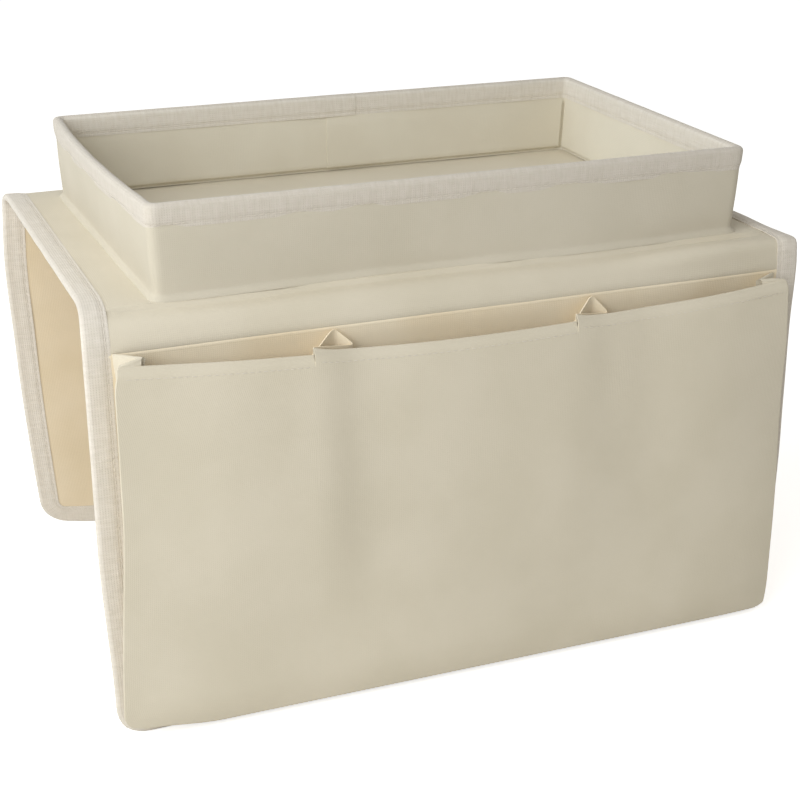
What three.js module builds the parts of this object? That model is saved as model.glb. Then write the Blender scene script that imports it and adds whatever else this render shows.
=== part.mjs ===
// Sofa armrest organizer: a cloth and board saddle with a tray on top and three pleated pockets in front.
// Millimetres. +X runs along the armrest, -Y is the pocket side and +Z is up.
// The origin is the middle of the top panel's underside, where the saddle lies on the armrest.
import * as THREE from 'three';

// Saddle
const SADDLE_LENGTH = 345;
const SADDLE_DEPTH = 225;
const STANDING_HEIGHT = 200;
const FRONT_FOLD_RADIUS = 14;
const BACK_FOLD_RADIUS = 8;
const FRONT_LEAN = THREE.MathUtils.degToRad(1);
const BACK_LEAN = THREE.MathUtils.degToRad(0.5);
const FLAP_CORNER_RADIUS = 15;
const FOLD_STEPS = 8;
const CORNER_STEPS = 6;

// Layers of a panel, from outside to inside: cover cloth, board, lining cloth
const CLOTH = 0.7;
const BOARD = 1.6;
const LAYER_GAP = 0.25;
const SEAM_GAP = 0.3;
const BOARD_INSET = 15;

// Binding tape folded round every raw edge
const TAPE = 0.6;
const TAPE_WIDTH = 11;
const TAPE_EDGE = 0.4;

// Tray, which leaves a bare strip by each end tape and a ledge by each flap, and stands off the middle
const TRAY_END_STRIP = 13.5;
const TRAY_LEDGE = 17;
const TRAY_HEIGHT = 42.5;
const TRAY_SHIFT_RIGHT = 6;
const TRAY_SHIFT_BACK = 1;
const TRAY_CORNER_RADIUS = 6;
const RIM_TAPE_OUTSIDE = 11;
const RIM_TAPE_INSIDE = 10;
const WELT_WIDTH = 1.6;
const WELT_HEIGHT = 2;

// Pleated pockets
const POCKET_CLOTH = 0.6;
const HEM_CLOTH = 0.9;
const HEM_WIDTH = 12;
const POCKET_MOUTH = 14;
const POCKET_BELLY = 11;
const POCKET_FOOT = 4.2;
const TUCK_HEIGHT = 26;
const FLOOR_CLEARANCE = 1.5;
const DIVIDER_SPACING = 127;
const PLEAT_DEPTH = 11;
const PLEAT_LEAN = 15;
const LEAN_HEIGHT = 90;
const PLEAT_BEND = 0.55;
const BEND_STEPS = 4;
const FOLD_SPACING = 1.6;
const END_FOLD_INSET_HEM = 12;
const END_FOLD_INSET_FOOT = 4.5;
const SEAM_TO_HEM = 3;
const FOLD_TO_HEM = 5;
const HEM_SAG = 2.5;
const FRONT_BOW = 1.5;
const FRONT_MARGIN = 5;
const FRONT_EASE = 14;

// Worked-out sizes
const PANEL = CLOTH + LAYER_GAP + BOARD + LAYER_GAP + CLOTH;
const EDGE = LAYER_GAP + TAPE;
const FRONT_FOLD_Y = SADDLE_DEPTH / 2 - FRONT_FOLD_RADIUS;
const BACK_FOLD_Y = SADDLE_DEPTH / 2 - BACK_FOLD_RADIUS;
const INNER_LENGTH = SADDLE_LENGTH - 2 * EDGE;
const TRAY_LENGTH = SADDLE_LENGTH - 2 * (TAPE_WIDTH + TRAY_END_STRIP);
const TRAY_DEPTH = SADDLE_DEPTH - 2 * TRAY_LEDGE;

const cream = { color: '#d8d0bd', roughness: 0.9, metalness: 0 };
const FINISH = {
  cover: cream,
  lining: { ...cream, color: '#cdbfa3' },
  pocket: { ...cream, color: '#d1c9b6' },
  tape: { ...cream, color: '#e2d9cd', roughness: 0.85 },
  board: { color: '#b49b78', roughness: 0.95, metalness: 0 },
};

function piece(name, geometry, finish) {
  const mesh = new THREE.Mesh(geometry, new THREE.MeshStandardMaterial(FINISH[finish]));
  mesh.name = name;
  return mesh;
}

// A closed body from its points and triangles, with the faces turned outwards.
function body(points, triangles) {
  const cross = new THREE.Vector3();
  let volume = 0;
  for (const [a, b, c] of triangles) {
    volume += points[a].dot(cross.crossVectors(points[b], points[c]));
  }
  const outward = volume > 0 ? triangles : triangles.map(([a, b, c]) => [a, c, b]);
  const geometry = new THREE.BufferGeometry().setFromPoints(points);
  geometry.setIndex(outward.flat());
  geometry.computeVertexNormals();
  return geometry;
}

// Two triangles over four corners given in order round them.
function quad(a, b, c, d) {
  return [[a, b, c], [a, c, d]];
}

// A band through matching outlines, one after another. A ring joins its last outline to its first.
function bandThrough(outlines, section, ring = false) {
  const count = section.length;
  const points = outlines.flat();
  const triangles = [];
  const spans = ring ? outlines.length : outlines.length - 1;
  for (let i = 0; i < spans; i += 1) {
    const here = i * count;
    const next = ((i + 1) % outlines.length) * count;
    for (let j = 0; j < count; j += 1) {
      const k = (j + 1) % count;
      triangles.push(...quad(here + j, here + k, next + k, next + j));
    }
  }
  if (!ring) {
    const last = (outlines.length - 1) * count;
    for (const [a, b, c] of THREE.ShapeUtils.triangulateShape(section, [])) {
      triangles.push([a, c, b], [last + a, last + b, last + c]);
    }
  }
  return body(points, triangles);
}

// A sheet of cloth between two matching grids of points, closed along its four edges.
function sheetBetween(front, back) {
  const rows = front.length;
  const columns = front[0].length;
  const points = [...front.flat(), ...back.flat()];
  const far = rows * columns;
  const at = (row, column) => row * columns + column;
  const triangles = [];
  for (let r = 0; r < rows - 1; r += 1) {
    for (let c = 0; c < columns - 1; c += 1) {
      const corners = [at(r, c), at(r, c + 1), at(r + 1, c + 1), at(r + 1, c)];
      triangles.push(...quad(...corners));
      triangles.push(...quad(...corners.map((i) => i + far).reverse()));
    }
    for (const c of [0, columns - 1]) {
      const edge = [at(r, c), at(r + 1, c), at(r + 1, c) + far, at(r, c) + far];
      triangles.push(...quad(...(c === 0 ? edge : edge.reverse())));
    }
  }
  for (let c = 0; c < columns - 1; c += 1) {
    for (const r of [0, rows - 1]) {
      const edge = [at(r, c + 1), at(r, c), at(r, c) + far, at(r, c + 1) + far];
      triangles.push(...quad(...(r === 0 ? edge : edge.reverse())));
    }
  }
  return body(points, triangles);
}

// Section of a tape folded over a panel's edge: x runs inwards from the edge and y across the panel.
function tapeSection() {
  const outside = PANEL / 2 + EDGE;
  const inside = PANEL / 2 + LAYER_GAP;
  const half = [
    [TAPE, inside],
    [TAPE_WIDTH, inside],
    [TAPE_WIDTH, outside],
    [TAPE_EDGE, outside],
    [0, outside - TAPE_EDGE],
  ];
  const mirrored = half.map(([x, y]) => [x, -y]).reverse();
  return [...half, ...mirrored].map(([x, y]) => new THREE.Vector2(x, y));
}

// A tape folded over an edge that runs through stations of edge point, inward and across directions.
function tapeAlong(stations) {
  const section = tapeSection();
  const outlines = stations.map(({ edge, inward, across }) => section.map((point) => (
    edge.clone().addScaledVector(inward, point.x).addScaledVector(across, point.y)
  )));
  return bandThrough(outlines, section);
}

const X = new THREE.Vector3(1, 0, 0);
const Z = new THREE.Vector3(0, 0, 1);

// Top panel: cover, board and lining, with a tape along each end
function topPanel() {
  const group = new THREE.Group();
  const depth = FRONT_FOLD_Y + BACK_FOLD_Y - SEAM_GAP;
  const middle = (BACK_FOLD_Y - FRONT_FOLD_Y) / 2;
  const thirds = 3;
  const layer = (name, finish, length, width, thickness, z) => {
    const sheet = piece(name, new THREE.BoxGeometry(length, width, thickness, thirds, thirds), finish);
    sheet.position.set(0, middle, z + thickness / 2);
    group.add(sheet);
  };
  const boardLength = SADDLE_LENGTH - 2 * BOARD_INSET;
  layer('top_lining', 'lining', INNER_LENGTH, depth, CLOTH, 0);
  layer('top_board', 'board', boardLength, depth, BOARD, CLOTH + LAYER_GAP);
  layer('top_cover', 'cover', INNER_LENGTH, depth, CLOTH, PANEL - CLOTH);
  for (const [side, sign] of [['left', -1], ['right', 1]]) {
    const stations = [middle - depth / 2, middle + depth / 2].map((y) => ({
      edge: new THREE.Vector3(sign * SADDLE_LENGTH / 2, y, PANEL / 2),
      inward: X.clone().multiplyScalar(-sign),
      across: Z,
    }));
    group.add(piece(`top_binding_${side}`, tapeAlong(stations), 'tape'));
  }
  return group;
}

// A tray piece that runs round all four walls. The section gives how far out from the wall and how high.
function roundTheTray(section) {
  const outlines = [];
  const reachX = TRAY_LENGTH / 2 - TRAY_CORNER_RADIUS;
  const reachY = TRAY_DEPTH / 2 - TRAY_CORNER_RADIUS;
  for (const [quarter, [sx, sy]] of [[1, 1], [-1, 1], [-1, -1], [1, -1]].entries()) {
    for (let step = 0; step <= CORNER_STEPS; step += 1) {
      const angle = (quarter + step / CORNER_STEPS) * Math.PI / 2;
      const outward = new THREE.Vector3(Math.cos(angle), Math.sin(angle), 0);
      const centre = new THREE.Vector3(sx * reachX, sy * reachY, 0);
      outlines.push(section.map(([out, height]) => (
        centre.clone().addScaledVector(outward, TRAY_CORNER_RADIUS + out).setZ(height)
      )));
    }
  }
  return bandThrough(outlines, section, true);
}

// Tray: boarded walls between a cover and a lining, with a tape over the rim and a welt at the foot
function tray() {
  const group = new THREE.Group();
  group.position.set(TRAY_SHIFT_RIGHT, TRAY_SHIFT_BACK, PANEL);
  const wallTop = TRAY_HEIGHT - EDGE;
  group.add(piece('tray_cover', roundTheTray([
    [-CLOTH, 0],
    [WELT_WIDTH, 0],
    [WELT_WIDTH, WELT_HEIGHT / 2],
    [WELT_WIDTH / 2, WELT_HEIGHT],
    [0, WELT_HEIGHT],
    [0, wallTop],
    [-CLOTH, wallTop],
  ]), 'cover'));
  const lining = CLOTH - PANEL;
  group.add(piece('tray_lining', roundTheTray([
    [-PANEL, 0],
    [lining, 0],
    [lining, wallTop],
    [-PANEL, wallTop],
  ]), 'lining'));
  const inner = -PANEL - LAYER_GAP;
  group.add(piece('tray_rim_binding', roundTheTray([
    [EDGE, TRAY_HEIGHT - RIM_TAPE_OUTSIDE],
    [EDGE, TRAY_HEIGHT - TAPE_EDGE],
    [EDGE - TAPE_EDGE, TRAY_HEIGHT],
    [TAPE_EDGE - PANEL - EDGE, TRAY_HEIGHT],
    [-PANEL - EDGE, TRAY_HEIGHT - TAPE_EDGE],
    [-PANEL - EDGE, TRAY_HEIGHT - RIM_TAPE_INSIDE],
    [inner, TRAY_HEIGHT - RIM_TAPE_INSIDE],
    [inner, wallTop + LAYER_GAP],
    [LAYER_GAP, wallTop + LAYER_GAP],
    [LAYER_GAP, TRAY_HEIGHT - RIM_TAPE_OUTSIDE],
  ]), 'tape'));
  const boardMiddle = CLOTH + LAYER_GAP + BOARD / 2;
  const longBoard = TRAY_LENGTH - 2 * TRAY_CORNER_RADIUS;
  const shortBoard = TRAY_DEPTH - 2 * TRAY_CORNER_RADIUS;
  const wallX = TRAY_LENGTH / 2 - boardMiddle;
  const wallY = TRAY_DEPTH / 2 - boardMiddle;
  for (const [wall, length, width, x, y] of [
    ['front', longBoard, BOARD, 0, -wallY],
    ['back', longBoard, BOARD, 0, wallY],
    ['left', BOARD, shortBoard, -wallX, 0],
    ['right', BOARD, shortBoard, wallX, 0],
  ]) {
    const board = piece(`tray_${wall}_board`, new THREE.BoxGeometry(length, width, wallTop), 'board');
    board.position.set(x, y, wallTop / 2);
    group.add(board);
  }
  return group;
}

// Flap frame: x along the armrest, y up from the fold's centre line and z outwards from it.
// A sheet of a fold, from the flap's start to the top panel's edge.
function foldSheet(radius, thickness, lean) {
  const margin = SEAM_GAP / radius / 2;
  const arc = (reach) => Array.from({ length: FOLD_STEPS + 1 }, (_, step) => {
    const angle = THREE.MathUtils.lerp(lean + margin, Math.PI / 2 - margin, step / FOLD_STEPS);
    return [-1, 1].map((sign) => new THREE.Vector3(
      sign * INNER_LENGTH / 2,
      reach * Math.sin(angle),
      reach * Math.cos(angle),
    ));
  });
  return sheetBetween(arc(radius), arc(radius - thickness));
}

// The tape over one end of a fold.
function foldTape(radius, lean, sign) {
  const middle = radius - PANEL / 2;
  const margin = SEAM_GAP / middle / 2;
  const stations = Array.from({ length: FOLD_STEPS + 1 }, (_, step) => {
    const angle = THREE.MathUtils.lerp(lean + margin, Math.PI / 2 - margin, step / FOLD_STEPS);
    const across = new THREE.Vector3(0, Math.sin(angle), Math.cos(angle));
    const edge = across.clone().multiplyScalar(middle).setX(sign * SADDLE_LENGTH / 2);
    return { edge, inward: X.clone().multiplyScalar(-sign), across };
  });
  return tapeAlong(stations);
}

// How far the flap's edge lies below the fold's centre line, so that it meets the floor.
function flapDrop(radius, lean) {
  const lowestOut = radius - PANEL - EDGE + TAPE_EDGE;
  return (STANDING_HEIGHT - radius + lowestOut * Math.sin(lean)) / Math.cos(lean);
}

// One layer of a flap: a straight top, straight sides and two round bottom corners.
function flapLayer(inset, drop, out, thickness) {
  const half = SADDLE_LENGTH / 2 - inset;
  const low = inset - drop;
  const radius = Math.max(FLAP_CORNER_RADIUS - inset, CLOTH);
  const shape = new THREE.Shape();
  shape.moveTo(-half, -SEAM_GAP / 2);
  shape.lineTo(-half, low + radius);
  shape.absarc(radius - half, low + radius, radius, Math.PI, 1.5 * Math.PI, false);
  shape.lineTo(half - radius, low);
  shape.absarc(half - radius, low + radius, radius, 1.5 * Math.PI, 2 * Math.PI, false);
  shape.lineTo(half, -SEAM_GAP / 2);
  const settings = { depth: thickness, bevelEnabled: false, curveSegments: CORNER_STEPS };
  return new THREE.ExtrudeGeometry(shape, settings).translate(0, 0, out);
}

// The tape down one side of a flap, round its corners and up the other side.
function flapTape(drop, out) {
  const half = SADDLE_LENGTH / 2;
  const stations = [];
  const station = (x, y, angle) => stations.push({
    edge: new THREE.Vector3(x, y, out),
    inward: new THREE.Vector3(-Math.cos(angle), -Math.sin(angle), 0),
    across: Z,
  });
  station(-half, -SEAM_GAP / 2, Math.PI);
  for (const [sign, start] of [[-1, Math.PI], [1, 1.5 * Math.PI]]) {
    for (let step = 0; step <= CORNER_STEPS; step += 1) {
      const angle = start + step / CORNER_STEPS * Math.PI / 2;
      const x = sign * (half - FLAP_CORNER_RADIUS) + FLAP_CORNER_RADIUS * Math.cos(angle);
      const y = FLAP_CORNER_RADIUS - drop + FLAP_CORNER_RADIUS * Math.sin(angle);
      station(x, y, angle);
    }
  }
  station(half, -SEAM_GAP / 2, 2 * Math.PI);
  return tapeAlong(stations);
}

// A flap with its fold. In the front frame left is at -x, and in the turned back frame at +x.
function flap(side, radius, lean, leftSign) {
  const fold = new THREE.Group();
  const panel = new THREE.Group();
  const drop = flapDrop(radius, lean);
  panel.rotation.x = -lean;
  fold.add(panel);
  fold.add(piece(`${side}_fold_cover`, foldSheet(radius, CLOTH, lean), 'cover'));
  fold.add(piece(`${side}_fold_lining`, foldSheet(radius - PANEL + CLOTH, CLOTH, lean), 'lining'));
  for (const [end, sign] of [['left', leftSign], ['right', -leftSign]]) {
    fold.add(piece(`${side}_fold_binding_${end}`, foldTape(radius, lean, sign), 'tape'));
  }
  const boardOut = radius - CLOTH - LAYER_GAP - BOARD;
  panel.add(piece(`${side}_flap_cover`, flapLayer(EDGE, drop, radius - CLOTH, CLOTH), 'cover'));
  panel.add(piece(`${side}_flap_board`, flapLayer(BOARD_INSET, drop, boardOut, BOARD), 'board'));
  panel.add(piece(`${side}_flap_lining`, flapLayer(EDGE, drop, radius - PANEL, CLOTH), 'lining'));
  panel.add(piece(`${side}_flap_binding`, flapTape(drop, radius - PANEL / 2), 'tape'));
  return { fold, panel, drop };
}

// The round bend of a folded cloth, in place of the corner at b.
function bend(a, b, c) {
  const toA = a.clone().sub(b).normalize();
  const toC = c.clone().sub(b).normalize();
  const half = Math.acos(THREE.MathUtils.clamp(toA.dot(toC), -1, 1)) / 2;
  const middle = toA.clone().add(toC).normalize();
  const centre = b.clone().addScaledVector(middle, PLEAT_BEND / Math.sin(half));
  const from = b.clone().addScaledVector(toA, PLEAT_BEND / Math.tan(half)).sub(centre);
  const to = b.clone().addScaledVector(toC, PLEAT_BEND / Math.tan(half)).sub(centre);
  const turn = Math.atan2(from.cross(to), from.dot(to));
  return Array.from({ length: BEND_STEPS + 1 }, (_, step) => (
    from.clone().rotateAround(new THREE.Vector2(), turn * step / BEND_STEPS).add(centre)
  ));
}

// The cloth of one pocket side at one height, from its seam on the flap to the pocket's front.
// The cloth runs inwards from the seam, folds back to the pocket's outer fold and turns to the front.
function pleatPath(side, height, seamOut, frontOut) {
  const seam = new THREE.Vector2(side.seam, seamOut);
  const deep = new THREE.Vector2(side.seam + side.inward * PLEAT_DEPTH, (seamOut + frontOut) / 2);
  const fold = new THREE.Vector2(side.foldAt(height), frontOut);
  const inner = side.inward * Math.max(side.inward * deep.x, side.inward * fold.x);
  const front = new THREE.Vector2(inner + side.inward * FRONT_MARGIN, frontOut);
  return [seam, ...bend(seam, deep, fold), ...bend(deep, fold, front), front];
}

// Heights of a pocket's rows, as shares from its foot to its hem: close together at the tuck and the hem.
function pocketRows(full) {
  const tuck = [0, 0.25, 0.5, 0.75, 1].map((share) => share * TUCK_HEIGHT / full);
  const hem = 1 - HEM_WIDTH / full;
  const middle = [1, 2, 3, 4, 5].map((n) => THREE.MathUtils.lerp(tuck.at(-1), hem, n / 6));
  const step = 0.5 / full;
  return [...tuck, ...middle, hem - step, hem + step, 1];
}

// One pleated pocket: a ribbon of cloth sewn to the flap along both sides, seen as rows from foot to hem.
function pocket(drop, left, right) {
  const face = FRONT_FOLD_RADIUS;
  const foot = FLOOR_CLEARANCE - drop;
  const full = -FOLD_TO_HEM - foot;
  const front = [];
  const back = [];
  for (const share of pocketRows(full)) {
    const height = foot + share * full;
    const onTape = share * full < TAPE_WIDTH + FLOOR_CLEARANCE ? EDGE : 0;
    const cloth = share * full > full - HEM_WIDTH ? HEM_CLOTH : POCKET_CLOTH;
    const seamOut = face + SEAM_GAP + HEM_CLOTH / 2 + onTape;
    const tuck = Math.sin(Math.min(share * full / TUCK_HEIGHT, 1) * Math.PI / 2);
    const above = Math.max(share * full - TUCK_HEIGHT, 0) / (full - TUCK_HEIGHT);
    const belly = THREE.MathUtils.lerp(POCKET_BELLY, POCKET_MOUTH, above);
    const frontOut = face + EDGE + THREE.MathUtils.lerp(POCKET_FOOT, belly - EDGE, tuck);
    const bowOut = THREE.MathUtils.lerp(seamOut, frontOut + FRONT_BOW, tuck);
    const from = pleatPath(left, height, seamOut, frontOut);
    const to = pleatPath(right, height, seamOut, frontOut).reverse();
    const bow = [from.at(-1).x + FRONT_EASE, (from.at(-1).x + to[0].x) / 2, to[0].x - FRONT_EASE];
    const path = [...from, ...bow.map((x) => new THREE.Vector2(x, bowOut)), ...to];
    const span = path.at(-1).x - path[0].x;
    const row = (offset) => path.map((point, i) => {
      const before = path[Math.max(i - 1, 0)];
      const after = path[Math.min(i + 1, path.length - 1)];
      const along = after.clone().sub(before).normalize();
      const across = new THREE.Vector2(-along.y, along.x).multiplyScalar(offset * cloth / 2);
      const place = (point.x - path[0].x) / span;
      const raised = (FOLD_TO_HEM - SEAM_TO_HEM) * (frontOut - point.y) / (frontOut - seamOut);
      const sag = HEM_SAG * 4 * place * (1 - place);
      const y = height + share * share * (Math.max(raised, 0) - sag);
      return new THREE.Vector3(point.x + across.x, y, point.y + across.y);
    });
    front.push(row(1));
    back.push(row(-1));
  }
  return sheetBetween(front, back);
}

// The three pockets: their end pleats stand by the side tapes and their middle folds lean to the left.
function pockets(drop) {
  const end = SADDLE_LENGTH / 2;
  const divider = DIVIDER_SPACING / 2;
  const seamShift = (POCKET_CLOTH + SEAM_GAP) / 2;
  const endSide = (sign) => ({
    seam: sign * (end - TAPE_WIDTH - SEAM_GAP - HEM_CLOTH / 2),
    inward: -sign,
    foldAt: (height) => {
      const inset = THREE.MathUtils.mapLinear(height, -drop, 0, END_FOLD_INSET_FOOT, END_FOLD_INSET_HEM);
      return sign * (end - inset);
    },
  });
  const dividerSide = (place, inward) => ({
    seam: place + inward * seamShift,
    inward,
    foldAt: (height) => {
      const rise = THREE.MathUtils.smoothstep(height, -FOLD_TO_HEM - LEAN_HEIGHT, -FOLD_TO_HEM);
      return place - PLEAT_LEAN * rise + inward * FOLD_SPACING / 2;
    },
  });
  return [
    piece('pocket_left', pocket(drop, endSide(-1), dividerSide(-divider, -1)), 'pocket'),
    piece('pocket_middle', pocket(drop, dividerSide(-divider, 1), dividerSide(divider, -1)), 'pocket'),
    piece('pocket_right', pocket(drop, dividerSide(divider, 1), endSide(1)), 'pocket'),
  ];
}

const organizer = new THREE.Group();
organizer.name = 'sofa_armrest_organizer';
organizer.add(topPanel(), tray());

const front = flap('front', FRONT_FOLD_RADIUS, FRONT_LEAN, -1);
front.fold.rotation.x = Math.PI / 2;
front.fold.position.set(0, -FRONT_FOLD_Y, PANEL - FRONT_FOLD_RADIUS);
front.panel.add(...pockets(front.drop));

const back = flap('back', BACK_FOLD_RADIUS, BACK_LEAN, 1);
back.fold.rotation.set(Math.PI / 2, 0, Math.PI, 'ZYX');
back.fold.position.set(0, BACK_FOLD_Y, PANEL - BACK_FOLD_RADIUS);
organizer.add(front.fold, back.fold);

export default organizer;
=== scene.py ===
"""Dresses the sofa armrest organizer: a cloth and board saddle with a tray on top and pleated pockets."""
import math

import bpy
import numpy as np
from bpy.props import FloatProperty, FloatVectorProperty, PointerProperty
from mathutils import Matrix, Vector


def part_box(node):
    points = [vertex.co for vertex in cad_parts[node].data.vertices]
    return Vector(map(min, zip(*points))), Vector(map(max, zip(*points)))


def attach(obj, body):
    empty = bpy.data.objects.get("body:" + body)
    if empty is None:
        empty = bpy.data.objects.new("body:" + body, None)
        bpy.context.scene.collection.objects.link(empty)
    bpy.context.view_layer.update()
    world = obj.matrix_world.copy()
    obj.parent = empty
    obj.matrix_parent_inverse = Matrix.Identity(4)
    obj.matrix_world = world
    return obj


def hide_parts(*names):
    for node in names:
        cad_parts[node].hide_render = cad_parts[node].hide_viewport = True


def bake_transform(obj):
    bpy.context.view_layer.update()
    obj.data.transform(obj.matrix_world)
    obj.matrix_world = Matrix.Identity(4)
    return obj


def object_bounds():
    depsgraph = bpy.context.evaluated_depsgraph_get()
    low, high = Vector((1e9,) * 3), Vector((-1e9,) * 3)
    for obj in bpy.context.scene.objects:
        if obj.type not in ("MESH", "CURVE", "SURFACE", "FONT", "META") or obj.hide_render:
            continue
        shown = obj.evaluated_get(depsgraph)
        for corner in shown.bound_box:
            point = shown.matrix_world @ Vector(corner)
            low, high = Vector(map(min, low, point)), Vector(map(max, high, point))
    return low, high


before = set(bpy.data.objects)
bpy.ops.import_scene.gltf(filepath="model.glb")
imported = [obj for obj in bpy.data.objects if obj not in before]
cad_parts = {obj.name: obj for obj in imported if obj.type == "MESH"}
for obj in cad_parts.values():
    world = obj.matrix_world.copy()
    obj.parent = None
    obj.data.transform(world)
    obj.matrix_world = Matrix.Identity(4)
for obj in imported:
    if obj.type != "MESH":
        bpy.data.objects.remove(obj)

bl_info = {
    "name": "Sofa armrest organizer",
    "version": (1, 0, 0),
    "blender": (4, 5, 0),
    "location": "View3D > Sidebar > Organizer",
    "description": "Cloth, binding tape, pleated pockets and stage of a sofa armrest organizer",
    "category": "Object",
}

# Places and sizes that come from the frame, in metres
CAD_LOW, CAD_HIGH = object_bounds()
HALF_LENGTH = CAD_HIGH.x
FLOOR_Z = CAD_LOW.z
TOP_LOW, TOP_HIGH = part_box("top_cover")
TOP_Z = TOP_HIGH.z
PANEL = TOP_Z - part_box("top_lining")[0].z
RIM_LOW, RIM_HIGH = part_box("tray_rim_binding")
TRAY_MIDDLE = (RIM_LOW + RIM_HIGH) / 2
TRAY_HEIGHT = RIM_HIGH.z - TOP_Z

# Fits between the pieces, in metres
SEAM_GAP = 0.0003
TAPE_STAND = 0.00085
STITCH_SINK = 0.0004
CLOTH_INSET = 0.0022
UNDER_TAPE = 0.0008
SMALL_STEP = 0.001

# How uneven the tape and the tray's walls are, as shares of the saddle's unevenness
TAPE_UNEVENNESS = 0.5
WALL_UNEVENNESS = 0.6

# Numbers of steps in what is round, and of rows in the turned-in hem
FOLD_STEPS = 16
ROUND_STEPS = 8
ROLL_STEPS = 8
HEM_ROWS = ROLL_STEPS + 3

# Sockets of a node that mixes two colours
MIX_SHARE, MIX_LOW, MIX_HIGH, MIX_RESULT = 0, 6, 7, 2


def linear(code):
    """The linear colour of an sRGB hex value."""
    parts = [int(code[i:i + 2], 16) / 255 for i in (1, 3, 5)]
    return tuple(p / 12.92 if p <= 0.04045 else ((p + 0.055) / 1.055) ** 2.4 for p in parts)


def size(name, description, default):
    """A length that a user may change."""
    return FloatProperty(name=name, description=description, default=default, unit="LENGTH", precision=5)


def tilt(name, description, degrees):
    """An angle that a user may change."""
    return FloatProperty(name=name, description=description, default=math.radians(degrees), subtype="ANGLE")


def number(name, description, default):
    """A number without a unit that a user may change."""
    return FloatProperty(name=name, description=description, default=default, subtype="UNSIGNED")


def wattage(name, description, default):
    """The power of a lamp, which a user may change."""
    return FloatProperty(name=name, description=description, default=default, unit="POWER")


def colour(name, description, code):
    """A colour that a user may change."""
    return FloatVectorProperty(
        name=name, description=description, default=linear(code), subtype="COLOR", min=0, max=1
    )


class SaddleSettings(bpy.types.PropertyGroup):
    """Sizes of the saddle: its folds, flaps, cloth, edge tape and stitches."""

    front_radius: size("Front fold radius", "Round shoulder above the pockets", 0.014)
    back_radius: size("Back fold radius", "Round shoulder above the plain flap", 0.008)
    front_lean: tilt("Front lean", "How far the pocket flap stands out", 1)
    back_lean: tilt("Back lean", "How far the plain flap stands out", 0.5)
    shoulder_square: number("Square shoulder", "How square the front shoulder is pressed at its right end", 9)
    end_bow: size("End bow", "How far the left end of the pocket flap bows out", 0.0038)
    right_bow: size("Right bow", "How far the pocket flap's right end stands out at its shoulder", 0.0022)
    right_pull: size("Right pull", "How far that end is drawn in at its foot", 0.0024)
    droop: size("Droop", "How far the right end of the top droops at its very edge", 0.0021)
    droop_reach: size("Droop reach", "Length over which that end droops", 0.011)
    edge_taper: size("Edge taper", "How much thinner the saddle is at its edges, beyond the boards", 0.0015)
    chamfer: number("Flat shoulder", "How much flatter than round the front shoulder is, as a share", 0.045)
    lip: size("Seam lip", "How far the cover stands out at the pocket seam", 0.0006)
    dish: size("Dish", "How far the cover is drawn down in front of the tray's foot", 0.0018)
    hang_out: size("Hang out", "How far the plain flap swells outwards under its fold", 0.005)
    hang_in: size("Hang in", "How far the plain flap's foot hangs inwards", 0.0034)
    side_bow: size("Side bow", "How far the plain flap's left edge bows out under its fold", 0.0025)
    side_skew: size("Side skew", "How far that edge draws in towards its foot", 0.0055)
    corner_lift: size("Corner lift", "How far the plain flap's left corner is drawn up", 0.005)
    corner_fill: size("Corner fill", "How much less round the pocket flap's left corner is", 0.0012)
    board: size("Board", "Thickness of the board in a flap", 0.0016)
    board_inset: size("Board inset", "Distance of a board from the flap's edges", 0.015)
    corner_radius: size("Flap corner", "Radius of the flaps' bottom corners", 0.015)
    cloth: size("Cloth", "Thickness of the cover and the lining", 0.0007)
    unevenness: size("Unevenness", "How far the cloth rises and dips over the board", 0.00025)
    seam_drop: size("Pocket seam", "Drop of the seam above the pockets below the front fold", 0.0020)
    tape_width: size("Tape width", "Width of the binding on each side of an edge", 0.0110)
    tape_cloth: size("Tape", "Thickness of the binding tape", 0.0004)
    stitch_inset: size("Stitch inset", "Distance of the stitches from the tape's inner edge", 0.0019)
    stitch_pitch: size("Stitch pitch", "Distance from one stitch to the next", 0.0031)
    stitch_length: size("Stitch length", "Length of thread that shows in one stitch", 0.0024)
    thread: size("Thread", "Thickness of the sewing thread", 0.00036)


class TraySettings(bpy.types.PropertyGroup):
    """Sizes of the tray: its corners, rim tape, foot and leaning walls."""

    corner_radius: size("Tray corner", "Radius of the tray's upright corners", 0.0058)
    corner_square: number("Square corner", "How square the outside of a corner is pulled", 3.2)
    rim_outside: size("Rim tape outside", "Width of the rim's tape on the outside", 0.011)
    rim_inside: size("Rim tape inside", "Width of the rim's tape on the inside", 0.0115)
    welt: size("Welt", "How far the sewn foot stands out of the wall", 0.0022)
    bulge: size("Wall bulge", "How far the wall's cloth swells", 0.0004)
    splay: size("Splay", "How far the left wall stands out at the rim, at its back end", 0.004)
    bow: size("Bow", "How far the left wall's rim bows out in its middle", 0.004)
    left_foot: size("Left foot", "How far the left wall's foot turns out at the back, in at the front", 0.002)
    right_in: size("Right wall", "How far the right wall stands in", 0.0040)
    right_foot: size("Right foot", "How much further its foot is drawn in", 0.0022)
    forward: size("Forward", "How far the tray is sewn on in front of its middle", 0.0020)
    foot_wave: size("Foot wave", "How far the front wall's foot wanders", 0.0014)
    lean_reach: size("Lean reach", "Length of front and back wall that follows the end walls", 0.12)
    crease: size("Crease", "Depth of the lining's groove at the floor and in the corners", 0.0020)
    crease_width: size("Crease width", "Height of that groove", 0.0028)
    lining_seam: size("Lining seam", "Place of the lining's seam from the middle of the back wall", 0.0065)
    tape_join: size("Tape join", "Place of the rim tape's overlap from the middle of the back wall", 0.0032)
    overlap: size("Overlap", "Length of cloth that laps over at a join", 0.010)


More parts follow.
